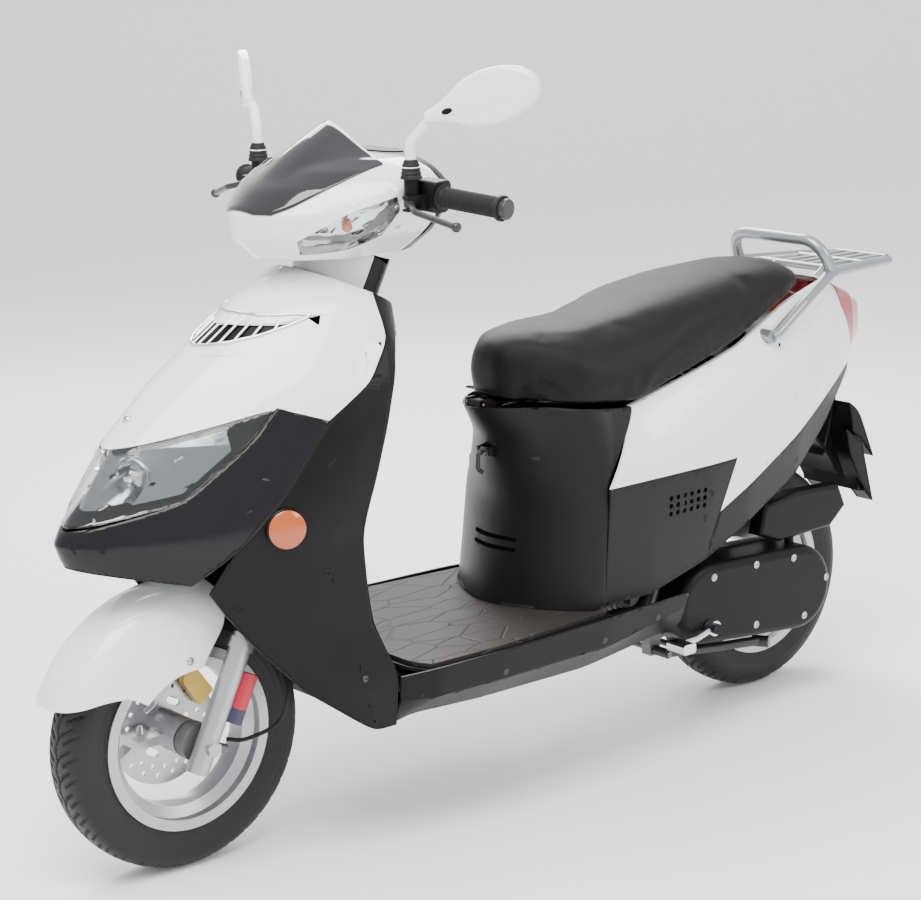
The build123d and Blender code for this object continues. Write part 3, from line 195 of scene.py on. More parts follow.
def fair(bm, crease, passes):
    """Smooths faces between sharp edges, and each sharp edge along its own run; corners stay put."""
    bm.verts.ensure_lookup_table()
    bm.verts.index_update()
    places = np.array([vert.co[:] for vert in bm.verts])
    sharp_next = {}
    pairs = []
    for edge in bm.edges:
        a, b = edge.verts[0].index, edge.verts[1].index
        pairs.append((a, b))
        if len(edge.link_faces) != 2 or edge.calc_face_angle(0) > crease:
            sharp_next.setdefault(a, []).append(b)
            sharp_next.setdefault(b, []).append(a)
    pairs = np.array(pairs)
    on_sharp = np.zeros(len(places), bool)
    on_sharp[list(sharp_next)] = True
    chain = []
    for vert, nexts in sharp_next.items():
        if len(nexts) == 2:
            before = places[vert] - places[nexts[0]]
            after = places[nexts[1]] - places[vert]
            length = np.linalg.norm(before) * np.linalg.norm(after)
            if length > 0 and before @ after / length > 0.72:
                chain.append((vert, nexts[0], nexts[1]))
    chain = np.array(chain, int).reshape(-1, 3)
    count = np.zeros(len(places))
    np.add.at(count, pairs[:, 0], 1)
    np.add.at(count, pairs[:, 1], 1)
    free = ~on_sharp
    for _ in range(passes):
        total = np.zeros_like(places)
        np.add.at(total, pairs[:, 0], places[pairs[:, 1]])
        np.add.at(total, pairs[:, 1], places[pairs[:, 0]])
        mean = total / np.maximum(count, 1)[:, None]
        moved = places.copy()
        moved[free] += 0.5 * (mean[free] - places[free])
        if len(chain):
            middle = (places[chain[:, 1]] + places[chain[:, 2]]) / 2
            moved[chain[:, 0]] += 0.4 * (middle - places[chain[:, 0]])
        places = moved
    for vert, place in zip(bm.verts, places):
        vert.co = place


def moulding(node, body, material, longest=9 * MM, crease=38.0, passes=16, edge=0.5 * MM):
    """A moulded panel: the CAD node's shape with its facets faired out and its rims slightly rounded."""
    bm = bmesh.new()
    bm.from_mesh(frame["nodes"][node].data)
    bmesh.ops.remove_doubles(bm, verts=bm.verts, dist=0.05 * MM)
    bmesh.ops.dissolve_degenerate(bm, edges=bm.edges, dist=0.02 * MM)
    refine(bm, longest)
    fair(bm, math.radians(crease), passes)
    piece = new_piece(node + "_skin", bm, body, material, crease)
    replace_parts(piece, node)
    if edge:
        rim = piece.modifiers.new("rim", "BEVEL")
        rim.width = edge
        rim.segments = 2
        rim.limit_method = "ANGLE"
        rim.angle_limit = math.radians(crease + 10)
    return piece


gloss_white = finish("Gloss white lacquer", (0.90, 0.90, 0.895), (0.86, 0.86, 0.855), 0.16, 0.05, 300.0, 5.0,
                     0.00001, Coat_Weight=0.6, Coat_Roughness=0.03)
for panel in ("front_panel", "side_panel_left", "side_panel_right"):
    moulding(panel, "chassis", gloss_white)
moulding("head_cowl_front", "steering", gloss_white)
moulding("front_fender", "fork", gloss_white, longest=7 * MM)


# ------------------------------------------------------------------ black body panels
# The nose around the lamp is gloss black like the white panels; the apron, skirts, floor tray and
# inner covers are left as moulded, in black polypropylene with a fine grain.

gloss_black = finish("Gloss black lacquer", (0.004, 0.004, 0.005), (0.007, 0.007, 0.008), 0.13, 0.05,
                     300.0, 5.0,
                     0.00001, Coat_Weight=0.15, Coat_Roughness=0.03, Specular_IOR_Level=0.2)
moulding("nose_cowl", "chassis", gloss_black)
satin_black = finish("Satin black moulding", (0.0035, 0.0035, 0.004), (0.006, 0.006, 0.0065), 0.38, 0.10,
                     1500.0, 9.0,
                     0.00005, Specular_IOR_Level=0.16)
for panel in ("leg_sides", "leg_shield", "lower_skirts", "tail_trims", "inner_mudguard", "belly_pan",
              "floor_board",
              "rear_fender"):
    moulding(panel, "chassis", satin_black)
moulding("head_cowl_rear", "steering", satin_black)
charcoal = finish("Grained charcoal moulding", (0.006, 0.006, 0.0065), (0.010, 0.010, 0.0105), 0.42, 0.10,
                  1300.0, 9.0, 0.0001, Specular_IOR_Level=0.20)
for panel in ("seat_pillar", "vent_panels"):
    moulding(panel, "chassis", charcoal)


# ------------------------------------------------------------------ neck cover
# The collar between the body and the head cowl turns with the bars: white in front, black behind.

def half_moulding(node, name, body, material, place, way):
    """The part of a moulding that lies on one side of a plane."""
    bm = bmesh.new()
    bm.from_mesh(frame["nodes"][node].data)
    bmesh.ops.remove_doubles(bm, verts=bm.verts, dist=0.05 * MM)
    bmesh.ops.bisect_plane(bm, geom=bm.verts[:] + bm.edges[:] + bm.faces[:], plane_co=place, plane_no=way,
                           clear_outer=True)
    refine(bm, 9 * MM)
    piece = new_piece(name, bm, body, material)
    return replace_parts(piece, node)


neck_low, neck_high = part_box("neck_cover")
neck_cut = (neck_low + neck_high) / 2 - Vector((12 * MM, 0, 0))
steer_way = Vector(joint_at["steer"]["axis"])
neck_forward = Vector((steer_way.z, 0, -steer_way.x))
half_moulding("neck_cover", "neck_front", "steering", gloss_white, neck_cut, -neck_forward)
half_moulding("neck_cover", "neck_rear", "steering", satin_black, neck_cut, neck_forward)


# ------------------------------------------------------------------ floor mat
# The mat is a ribbed rubber sheet with a shallow pattern of crossing cuts, pressed into the tray.

def build_cut_group():
    """Shallow irregular cuts crossing a sheet, as a height."""
    group, start, end = new_group(
        "Crossing cuts", [("Cut Scale", "Float", 14.0), ("Cut Width", "Float", 0.03)],
        [("Height", "Float")])
    place = group.nodes.new("ShaderNodeTexCoord")
    stretched = joined(group, "ShaderNodeMapping", [("Vector", place.outputs["Object"]),
                                                    ("Rotation",
                                                     (0.0, 0.0, 0.7)), ("Scale", (0.7, 1.5, 1.0))])
    cells = joined(group, "ShaderNodeTexVoronoi",
                   [("Vector", stretched.outputs["Vector"]), ("Scale", start.outputs["Cut Scale"])],
                   feature="DISTANCE_TO_EDGE")
    cut = joined(group, "ShaderNodeMath", [(0, cells.outputs["Distance"]), (1, start.outputs["Cut Width"])],
                 operation="DIVIDE", use_clamp=True)
    group.links.new(cut.outputs[0], end.inputs["Height"])
    return group


mat_rubber = finish("Cut rubber mat", (0.022, 0.019, 0.018), (0.036, 0.032, 0.029), 0.55, 0.12, 900.0, 12.0,
                    0.0002, Specular_IOR_Level=0.25)
mat_tree = mat_rubber.node_tree
cuts = joined(mat_tree, "ShaderNodeGroup", node_tree=build_cut_group())
cut_bump = joined(mat_tree, "ShaderNodeBump", [("Height", cuts.outputs["Height"]), ("Strength", 1.0)])
cut_bump.inputs["Distance"].default_value = 1.2 * MM
first_bump = next(node for node in mat_tree.nodes if node.type == "BUMP" and node != cut_bump)
mat_tree.links.new(first_bump.outputs["Normal"], cut_bump.inputs["Normal"])
mat_tree.links.new(cut_bump.outputs["Normal"], mat_tree.nodes["Principled BSDF"].inputs["Normal"])
moulding("floor_mat", "chassis", mat_rubber, edge=1.2 * MM)


# ------------------------------------------------------------------ bare CAD parts
# Castings, tubes, covers and steel parts keep their own shape and get the finish they leave the works with.

cast_silver = finish("Silver painted casting", (0.50, 0.50, 0.51), (0.40, 0.40, 0.41), 0.34, 0.10, 600.0,
                     20.0,
                     0.00005, Metallic=0.85)
sand_cast = finish("Sand cast alloy", (0.22, 0.22, 0.22), (0.12, 0.12, 0.12), 0.50, 0.15, 700.0, 18.0, 0.0003,
                   Metallic=0.8)
bright_steel = finish("Machined steel", (0.55, 0.55, 0.56), (0.42, 0.42, 0.43), 0.27, 0.10, 1800.0, 25.0,
                      0.00003,
                      Metallic=1.0)
black_steel = finish("Black painted steel", (0.012, 0.012, 0.012), (0.03, 0.03, 0.03), 0.32, 0.10, 500.0,
                     15.0,
                     0.00005)
bright_chrome = finish("Bright chrome", (0.80, 0.81, 0.83), (0.70, 0.71, 0.73), 0.09, 0.04, 900.0, 12.0,
                       0.00001,
                       Metallic=1.0)
gold_anodised = finish("Gold anodised alloy", (0.55, 0.38, 0.10), (0.42, 0.28, 0.07), 0.33, 0.10, 900.0, 20.0,
                       0.00003, Metallic=0.9)
grey_lacquer = finish("Silver grey lacquer", (0.34, 0.35, 0.36), (0.28, 0.29, 0.30), 0.30, 0.08, 1200.0, 12.0,
                      0.00003, Metallic=0.7, Coat_Weight=0.3)
soft_rubber = finish("Soft black rubber", (0.008, 0.008, 0.008), (0.014, 0.014, 0.0135), 0.62, 0.15,
                     900.0, 20.0,
                     0.0001, Specular_IOR_Level=0.25)
amber_plastic = finish("Amber reflector", (0.46, 0.085, 0.001), (0.38, 0.06, 0.001), 0.14, 0.05, 420.0,
                       60.0, 0.0004,
                       Coat_Weight=0.8)
lamp_red = finish("Red lamp lens", (0.30, 0.012, 0.012), (0.42, 0.03, 0.03), 0.12, 0.05, 260.0, 40.0, 0.0004,
                  Coat_Weight=0.9)
metallised = finish("Metallised reflector", (0.82, 0.83, 0.84), (0.70, 0.71, 0.72), 0.12, 0.05, 60.0,
                    30.0, 0.00012,
                    Metallic=1.0)
bare_finishes = {
    "front_rim": cast_silver, "rear_rim": cast_silver, "brake_disc": bright_steel, "fork_legs": cast_silver,
    "speedo_drive": sand_cast, "brake_caliper": gold_anodised, "fork_stem": bright_steel,
    "handlebar": black_steel,
    "switch_housings": satin_black, "brake_lever_left": black_steel, "brake_lever_right": black_steel,
    "headlight_housing": metallised,
    "speedometer": satin_black, "frame_tubes": black_steel, "bag_hook": black_steel, "tail_lamp": lamp_red,
    "luggage_box": satin_black, "fuel_tank": black_steel, "battery": satin_black,
    "crankcase": sand_cast, "cvt_cover": satin_black, "belt_drive": bright_steel, "kick_lever": bright_chrome,
    "air_box": satin_black, "muffler": black_steel, "rear_shock": bright_steel, "centre_stand": black_steel,
    "left_grip": soft_rubber, "throttle_grip": soft_rubber, "grab_rail": grey_lacquer,
    "front_tyre": soft_rubber,
    "rear_tyre": soft_rubber,
}
for node_name, material in bare_finishes.items():
    dress(frame["nodes"][node_name], material)


# ------------------------------------------------------------------ lenses
# The headlamp glass, flasher lenses and screen are clear or smoked acrylic, 3 mm thick, glued into
# their rims.

def acrylic(name, colour, roughness, **sockets):
    """A see-through moulding with plain transmission."""
    material = finish(name, colour, tuple(0.92 * part for part in colour), roughness, 0.02, 200.0, 8.0,
                      0.00001,
                      Transmission_Weight=1.0, IOR=1.46, **sockets)
    return material


clear_acrylic = acrylic("Clear acrylic", (0.97, 0.98, 0.99), 0.03)
moulding("headlight_lens", "chassis", clear_acrylic)
moulding("indicator_lenses", "steering", clear_acrylic)


# ------------------------------------------------------------------ tyres
# Each tyre is black rubber on a 10 inch rim. Slanted grooves cross a wavy centre groove in the tread,
# and thin moulded rings run round the side walls.

def tyre_skin(node, body, pitch_count):
    """A tyre built as rings round its axle, with the grooves pressed into the crown."""
    low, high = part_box(node)
    centre = (low + high) / 2
    outer = (high.z - low.z) / 2
    half = (high.y - low.y) / 2
    section = [(-0.78, 0.64), (-0.80, 0.68), (-0.90, 0.755), (-0.985, 0.815), (-1.0, 0.86), (-0.965, 0.905),
               (-0.88, 0.945), (-0.74, 0.972), (-0.56, 0.988), (-0.30, 0.997), (0.0, 1.0)]
    section += [(-side, reach) for side, reach in reversed(section[:-1])]
    outline = np.array([(side * half, reach * outer) for side, reach in section])
    along = np.concatenate([[0], np.cumsum(np.linalg.norm(np.diff(outline, axis=0), axis=1))])
    stops = np.linspace(0, along[-1], 84)
    across = np.interp(stops, along, outline[:, 0])
    reach = np.interp(stops, along, outline[:, 1])
    for _ in range(6):
        reach[1:-1] = (reach[:-2] + 2 * reach[1:-1] + reach[2:]) / 4
        across[1:-1] = (across[:-2] + 2 * across[1:-1] + across[2:]) / 4
    rounds = pitch_count * 12
    turn = np.linspace(0, 2 * math.pi, rounds, endpoint=False)
    pitch = 2 * math.pi * outer / pitch_count
    arc = turn * outer
    y, a = np.meshgrid(across, arc)
    groove = np.zeros_like(y)
    centre_line = np.abs(y - 2.5 * MM * np.sin(2 * math.pi * a / pitch))
    groove = np.maximum(groove, np.clip((2.6 * MM - centre_line) / (1.2 * MM), 0, 1))
    side = np.abs(y)
    for shift, inner_end, outer_end, slant in ((0.0, 9 * MM, 30 * MM, 0.75), (0.5, 16 * MM, 40 * MM, 0.75)):
        place = (a / pitch + shift * np.ones_like(a) + slant * side / pitch + 0.25 * (y > 0)) % 1.0
        near = np.abs(place - 0.5) * pitch
        within = (side > inner_end) & (side < outer_end)
        groove = np.maximum(groove, np.where(within, np.clip((2.9 * MM - near) / (1.3 * MM), 0, 1), 0))
    ring_wave = np.where((side > 0.86 * half) & (np.tile(reach, (rounds, 1)) < 0.9 * outer),
                         0.35 * MM * np.cos(np.tile(stops, (rounds, 1)) / (1.6 * MM)), 0)
    radius = np.tile(reach, (rounds, 1)) - 3.2 * MM * groove
    y = y + np.sign(y) * ring_wave - np.sign(y) * 0.35 * MM
    bm = bmesh.new()
    grid = []
    for i in range(rounds):
        cos_t, sin_t = math.cos(turn[i]), math.sin(turn[i])
        grid.append([bm.verts.new((centre.x + radius[i, j] * sin_t, centre.y + y[i, j],
                                   centre.z + radius[i, j] * cos_t)) for j in range(len(stops))])
        for inner in (0.66 * half, -0.66 * half):
            grid[i].append(bm.verts.new((centre.x + 0.64 * outer * sin_t, centre.y + inner,
                                         centre.z + 0.64 * outer * cos_t)))
    for i in range(rounds):
        row, following = grid[i], grid[(i + 1) % rounds]
        for j in range(len(row)):
            k = (j + 1) % len(row)
            bm.faces.new((row[j], row[k], following[k], following[j]))
    bmesh.ops.recalc_face_normals(bm, faces=bm.faces)
    piece = new_piece(node + "_tread", bm, body, tyre_rubber, 42.0)
    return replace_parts(piece, node)


tyre_rubber = finish("Tyre rubber", (0.009, 0.009, 0.0095), (0.018, 0.0175, 0.017), 0.50, 0.16,
                     800.0, 14.0, 0.00015, Specular_IOR_Level=0.25)
tyre_skin("front_tyre", "front_wheel", 38)
tyre_skin("rear_tyre", "rear_wheel", 38)


# ------------------------------------------------------------------ seat
# The two-level seat is moulded foam under stretched black leatherette, stapled under the pan's rim.

SEAT_VOXEL = 5.5 * MM
SEAT_CAP = 7 * MM


def seat_front(place):
    """The foam's nose is set back from the pan's longest reach, narrows to a blunt point and hangs lower."""
    along = min(1, max(0, (place.x + 0.08) / 0.186))
    place.y *= 1 - 0.42 * along * along * (3 - 2 * along)
    if place.x > -0.06:
        hang = min(1, max(0, (0.735 - place.z) / 0.05))
        place.z -= 0.15 * hang * (place.x + 0.06)
        place.x = -0.06 + (place.x + 0.06) * 0.66


def stuffed_seat():
    """The cushion's solid, remeshed and blown up gently as cloth, so that its faces crown."""
    source = frame["nodes"]["seat_cushion"]
    bm = bmesh.new()
    bm.from_mesh(source.data)
    bmesh.ops.remove_doubles(bm, verts=bm.verts, dist=0.05 * MM)
    refine(bm, 14 * MM)
    for vert in bm.verts:
        seat_front(vert.co)
    fair(bm, math.radians(50), 14)
    mesh = bpy.data.meshes.new("seat_cover")
    bm.to_mesh(mesh)
    bm.free()
    seat = bpy.data.objects.new("seat_cover", mesh)
    bpy.context.scene.collection.objects.link(seat)
    bpy.context.view_layer.objects.active = seat
    seat.select_set(True)
    voxel = seat.modifiers.new("voxel", "REMESH")
    voxel.mode = "VOXEL"
    voxel.voxel_size = SEAT_VOXEL
    bpy.ops.object.modifier_apply(modifier=voxel.name)
    relax = seat.modifiers.new("relax", "SMOOTH")
    relax.factor = 0.5
    relax.iterations = 12
    bpy.ops.object.modifier_apply(modifier=relax.name)
    before = np.array([vert.co[:] for vert in seat.data.vertices])
    normals = np.array([vert.normal[:] for vert in seat.data.vertices])
    cloth = seat.modifiers.new("cloth", "CLOTH")
    cloth.settings.use_pressure = True
    cloth.settings.uniform_pressure_force = 4.0
    cloth.settings.effector_weights.gravity = 0.0
    cloth.settings.quality = 4
    cloth.settings.tension_stiffness = 25.0
    cloth.settings.compression_stiffness = 25.0
    cloth.settings.shear_stiffness = 10.0
    cloth.settings.bending_stiffness = 2.0
    for step in range(1, 21):
        bpy.context.scene.frame_set(step)
    evaluated = seat.evaluated_get(bpy.context.evaluated_depsgraph_get())
    blown = np.array([vert.co[:] for vert in evaluated.data.vertices])
    seat.modifiers.remove(cloth)
    bpy.context.scene.frame_set(1)
    shift = blown - before
    length = np.linalg.norm(shift, axis=1)
    room = np.where(normals[:, 2] < -0.6, 0.3 * MM, SEAT_CAP)
    shift *= np.minimum(1, room / np.maximum(length, 1e-9))[:, None]
    blown = before + shift
    seat.data.vertices.foreach_set("co", blown.astype(np.float32).ravel())
    seat.data.update()
    soften = seat.modifiers.new("soften", "SMOOTH")
    soften.factor = 0.5
    soften.iterations = 6
    bpy.ops.object.modifier_apply(modifier=soften.name)
    seat.select_set(False)
    seat.data.shade_smooth()
    finer = seat.modifiers.new("finer", "SUBSURF")
    finer.levels = 1
    finer.render_levels = 1
    return seat


leatherette = finish("Black leatherette", (0.0045, 0.004, 0.0045), (0.008, 0.0075, 0.008), 0.50, 0.14,
                     700.0, 9.0,
                     0.00035, Specular_IOR_Level=0.18)
seat_cover = stuffed_seat()
dress(seat_cover, leatherette)
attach(seat_cover, "seat")
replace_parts(seat_cover, "seat_cushion")

bm = bmesh.new()
bm.from_mesh(frame["nodes"]["seat_pan"].data)
bmesh.ops.remove_doubles(bm, verts=bm.verts, dist=0.05 * MM)
refine(bm, 25 * MM)
for vert in bm.verts:
    if vert.co.z > 0.662:
        seat_front(vert.co)
        nose = min(1, max(0, (vert.co.x + 0.08) / 0.1))
        vert.co.x -= 16 * MM * nose
        vert.co.y *= 1 - 0.22 * nose
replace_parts(new_piece("seat_pan_tray", bm, "seat", satin_black), "seat_pan")


# ------------------------------------------------------------------ turned and bent small parts
# Screws, bolts, bulbs and grips are turned shapes; cables, springs and arms are bent round stock.

def turned(name, profile, place, axis, body, material, steps=40, crease=35.0):
    """A closed shape turned about an axis from its (radius, height) outline, from the foot to the tip."""
    axis = Vector(axis).normalized()
    across = axis.orthogonal().normalized()
    third = axis.cross(across)
    bm = bmesh.new()
    rings = []
    for radius, height in profile:
        if radius == 0:
            rings.append([bm.verts.new(Vector(place) + axis * height)])
            continue
        rings.append([bm.verts.new(Vector(place) + axis * height
                                   + (across * math.cos(t) + third * math.sin(t)) * radius)
                      for t in (2 * math.pi * k / steps for k in range(steps))])
    for lower, upper in zip(rings, rings[1:]):
        for k in range(steps):
            n = (k + 1) % steps
            corners = {1: [lower[0]]}.get(len(lower), [lower[k], lower[n % len(lower)]])
            corners = corners + {1: [upper[0]]}.get(len(upper),
                                                    [upper[n % len(upper)], upper[k % len(upper)]])
            if len(set(corners)) > 2:
                bm.faces.new(corners)
    if len(rings[0]) > 1:
        bm.faces.new(list(reversed(rings[0])))
    if len(rings[-1]) > 1:
        bm.faces.new(rings[-1])
    bmesh.ops.recalc_face_normals(bm, faces=bm.faces)
    return new_piece(name, bm, body, material, crease)


def curve_through(points, per_span=10):
    """Points on a smooth line through the given ones."""
    points = [Vector(point) for point in points]
    ends = [2 * points[0] - points[1]] + points + [2 * points[-1] - points[-2]]
    line = []
    for k in range(1, len(ends) - 2):
        p0, p1, p2, p3 = ends[k - 1:k + 3]
        for s in range(per_span):
            t = s / per_span
            line.append(0.5 * (2 * p1 + (p2 - p0) * t + (2 * p0 - 5 * p1 + 4 * p2 - p3) * t * t
                               + (3 * p1 - p0 - 3 * p2 + p3) * t ** 3))
    line.append(points[-1])
    return line


def bent(name, line, radius, body, material, steps=14):
    """Round stock along a line of points."""
    bm = bmesh.new()
    across = (line[1] - line[0]).orthogonal().normalized()
    rings = []
    for k, point in enumerate(line):
        ahead_way = (line[min(k + 1, len(line) - 1)] - line[max(k - 1, 0)]).normalized()
        across = (across - ahead_way * across.dot(ahead_way)).normalized()
        third = ahead_way.cross(across)
        rings.append([bm.verts.new(point + (across * math.cos(t) + third * math.sin(t)) * radius)
                      for t in (2 * math.pi * n / steps for n in range(steps))])
    for lower, upper in zip(rings, rings[1:]):
        for n in range(steps):
            m = (n + 1) % steps
            bm.faces.new((lower[n], lower[m], upper[m], upper[n]))
    bm.faces.new(list(reversed(rings[0])))
    bm.faces.new(rings[-1])
    return new_piece(name, bm, body, material, 50.0)


def skin_point(node, start, way):
    """Where a line first meets a CAD node, and which way its surface faces there."""
    data = frame["nodes"][node].data
    tree = BVHTree.FromPolygons([vert.co for vert in data.vertices],
                                [face.vertices for face in data.polygons])
    place, normal, _, _ = tree.ray_cast(Vector(start), Vector(way).normalized())
    if place is None:
        print("no surface", node, tuple(start))
        return None, None
    if normal.dot(Vector(way)) > 0:
        normal = -normal
    return place, normal


def dome_screw(name, place, axis, radius, body, material):
    """A domed screw head with its washer, pressed on a surface."""
    profile = [(radius * 1.25, -0.6 * MM), (radius * 1.25, 0.5 * MM), (radius * 1.0, 0.6 * MM),
               (radius * 0.96, 0.25 * radius), (radius * 0.7, 0.52 * radius), (radius * 0.3, 0.60 * radius),
               (radius * 0.26, 0.30 * radius), (0, 0.28 * radius)]
    return turned(name, profile, place, axis, body, material, 28)


# ------------------------------------------------------------------ screen
# The smoked screen lies on the cowl's brow in a broad V and rises above it to a rounded peak.

smoked_acrylic = finish("Smoked acrylic", (0.004, 0.004, 0.005), (0.006, 0.006, 0.007), 0.07, 0.03, 200.0,
                        8.0,
                        0.00001, Coat_Weight=0.8, Coat_Roughness=0.02)
cowl_data = frame["nodes"]["head_cowl_front"].data
cowl_tree = BVHTree.FromPolygons([vert.co for vert in cowl_data.vertices],
                                 [face.vertices for face in cowl_data.polygons])
SCREEN_LOW = ((0, 0.536, 1.030), (35, 0.533, 1.027), (62, 0.516, 1.024), (81, 0.494, 1.034),
              (90, 0.481, 1.041),
              (107, 0.455, 1.057), (120, 0.425, 1.070), (131, 0.395, 1.084), (139, 0.355, 1.095))
SCREEN_PROUD = 2.2 * MM
brow_way = Vector((0.62, 0, 0.785)).normalized()
low_y, low_x, low_z = (np.array(column) for column in zip(*SCREEN_LOW))
columns, rows = 48, 22
bm = bmesh.new()
grid = []
for i in range(columns + 1):
    share = -1 + 2 * i / columns
    spread = math.sin(share * math.pi / 2) * 139
    foot = Vector((np.interp(abs(spread), low_y, low_x), spread * MM, np.interp(abs(spread), low_y, low_z)))
    rise = 1 - (abs(spread) / 139) ** 1.7
    top = Vector((0.352 + 0.004 * rise, spread * MM * (0.62 + 0.36 * (abs(spread) / 139) ** 2),
                  1.0955 + 0.060 * rise))
    line = []
    for j in range(rows + 1):
        v = j / rows
        point = foot.lerp(top, v) + brow_way * 10 * MM * math.sin(v * math.pi) * rise
        hit = cowl_tree.ray_cast(point + brow_way * 0.2, -brow_way)[0]
        if hit is not None and (hit - point).dot(brow_way) > -SCREEN_PROUD:
            point = hit + brow_way * SCREEN_PROUD
        line.append(bm.verts.new(point))
    grid.append(line)
for i in range(columns):
    for j in range(rows):
        bm.faces.new((grid[i][j], grid[i + 1][j], grid[i + 1][j + 1], grid[i][j + 1]))
bmesh.ops.smooth_vert(bm, verts=[grid[i][j] for i in range(1, columns) for j in range(1, rows)], factor=0.5,
                      use_axis_x=True, use_axis_y=True, use_axis_z=True)
screen = new_piece("screen", bm, "steering", smoked_acrylic, 60.0)
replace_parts(screen, "visor")
thick = screen.modifiers.new("thick", "SOLIDIFY")
thick.thickness = 2 * MM
thick.offset = -1


# ------------------------------------------------------------------ front grille
# A chromed crescent frame with upright bars stands in a black-backed opening of the front panel.

grille_data = frame["nodes"]["front_grille"].data
tops = [vert.co[:] for vert in grille_data.vertices if vert.normal.z > 0.35]
tops = np.array(tops)


def crown_terms(x, y):
    """The terms of the smooth surface fitted to the panel round the grille."""
    return np.stack([np.ones_like(x), x, x * x, y * y, x * y * y, y ** 4], axis=-1)


crown = np.linalg.lstsq(crown_terms(tops[:, 0], tops[:, 1]), tops[:, 2], rcond=None)[0]


def on_crown(x, y, lift=0.0):
    """A point on the panel's surface above a place in plan."""
    x, y = x * MM, y * MM
    z = float(crown_terms(np.array(x), np.array(y)) @ crown)
    return Vector((x, y, z + lift))


GRILLE_LOW = ((0, 627), (25, 619), (50, 596), (75, 560), (95, 520), (108, 488))
GRILLE_HIGH = ((0, 560), (25, 556), (50, 543), (75, 521), (95, 497), (108, 484))


def across_grille(edge, y):
    """How far forward an edge of the opening lies at a width."""
    return float(np.interp(abs(y), *zip(*edge)))


widths = [108 * math.sin(math.pi / 2 * k / 24) for k in range(-24, 25)]
loop = [(across_grille(GRILLE_LOW, y), y) for y in widths] + [(across_grille(GRILLE_HIGH, y), y)
                                                              for y in reversed(widths[1:-1])]
frame_line = [on_crown(x, y, 0.5 * MM) for x, y in loop]
rim_piece = bent("grille_frame", frame_line + frame_line[:2], 2.8 * MM, "chassis", bright_chrome,
                 12)
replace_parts(rim_piece, "front_grille")
for number in range(-5, 6):
    y = number * 17.0
    low_x, high_x = across_grille(GRILLE_LOW, y), across_grille(GRILLE_HIGH, y * 0.94)
    bar = [on_crown(low_x + (high_x - low_x) * k / 8, y * (1 - 0.06 * k / 8), -2.5 * MM) for k in range(9)]
    bent("grille_bar_%d" % (number + 5), bar, 2.3 * MM, "chassis", bright_chrome, 10)
bm = bmesh.new()
strips = []
for y in widths:
    low_x, high_x = across_grille(GRILLE_LOW, y), across_grille(GRILLE_HIGH, y)
    strips.append([bm.verts.new(on_crown(low_x + (high_x - low_x) * k / 6, y, -7 * MM)) for k in range(7)])
for one, two in zip(strips, strips[1:]):
    for k in range(6):
        bm.faces.new((one[k], two[k], two[k + 1], one[k + 1]))
bmesh.ops.recalc_face_normals(bm, faces=bm.faces)
new_piece("grille_back", bm, "chassis", satin_black)

# The panel's own skin comes in to the crescent: a white fillet strip fills round the frame.
outer_low = [(0, 654), (58, 614), (104, 547), (126, 478)]
outer_high = [(0, 582), (40, 564), (84, 526), (116, 466), (126, 460)]
bm = bmesh.new()
for inner, outer, sign in ((GRILLE_LOW, outer_low, 1), (GRILLE_HIGH, outer_high, -1)):
    strips = []
    for k in range(-32, 33):
        inner_y = 108 * math.sin(math.pi / 2 * k / 32)
        outer_y = 125 * math.sin(math.pi / 2 * k / 32)
        near = (across_grille(inner, inner_y), inner_y)
        far = (across_grille(outer, outer_y), outer_y)
        strips.append([bm.verts.new(on_crown(near[0] + (far[0] - near[0]) * t / 4,
                                             near[1] + (far[1] - near[1]) * t / 4,
                                             -0.4 * MM)) for t in range(5)])
    for one, two in zip(strips, strips[1:]):
        for t in range(4):
            corners = (one[t], two[t], two[t + 1], one[t + 1])
            bm.faces.new(corners if sign > 0 else tuple(reversed(corners)))
bmesh.ops.recalc_face_normals(bm, faces=bm.faces)
new_piece("grille_surround", bm, "chassis", gloss_white)


# ------------------------------------------------------------------ body screws
# Chromed dome screws hold the front panel, the fender and the skirts; a brass bolt is the seat's hinge pin.

panel_screw, panel_way = skin_point("front_panel", (1.2, 0.0, 0.735), (-1, 0, 0))
dome_screw("front_panel_screw", panel_screw, panel_way, 6.5 * MM, "chassis", bright_chrome)
for side in (1, -1):
    label = "left" if side > 0 else "right"
    for number, (x, z) in enumerate(((0.708, 0.352), (0.733, 0.304))):
        place, way = skin_point("front_fender", (x, side * 0.4, z), (0, -side, 0))
        if place:
            dome_screw("fender_bolt_%s_%d" % (label, number), place, way, 6 * MM, "fork", bright_steel)
    for number, (x, z) in enumerate(((0.47, 0.30), (0.20, 0.255), (-0.03, 0.255), (-0.17, 0.262))):
        node = "leg_sides" if number == 0 else "lower_skirts"
        place, way = skin_point(node, (x, side * 0.4, z), (0, -side, 0))
        if place:
            dome_screw("skirt_screw_%s_%d" % (label, number), place, way, 4.5 * MM, "chassis",
                       black_steel)
    hinge = Vector(joint_at["seat_lift"]["pos_m"])
    turned("hinge_bolt_" + label, [(6 * MM, 0), (6 * MM, 5 * MM), (5 * MM, 6 * MM), (0, 6.2 * MM)],
           hinge + Vector((0, side * 19 * MM, 0)), (0, side, 0), "seat", gold_anodised, 6, 20.0)


# ------------------------------------------------------------------ headlamp insides
# Two metallised bowls stand behind the clear lens, each with a glass bulb and a bright shade over it.

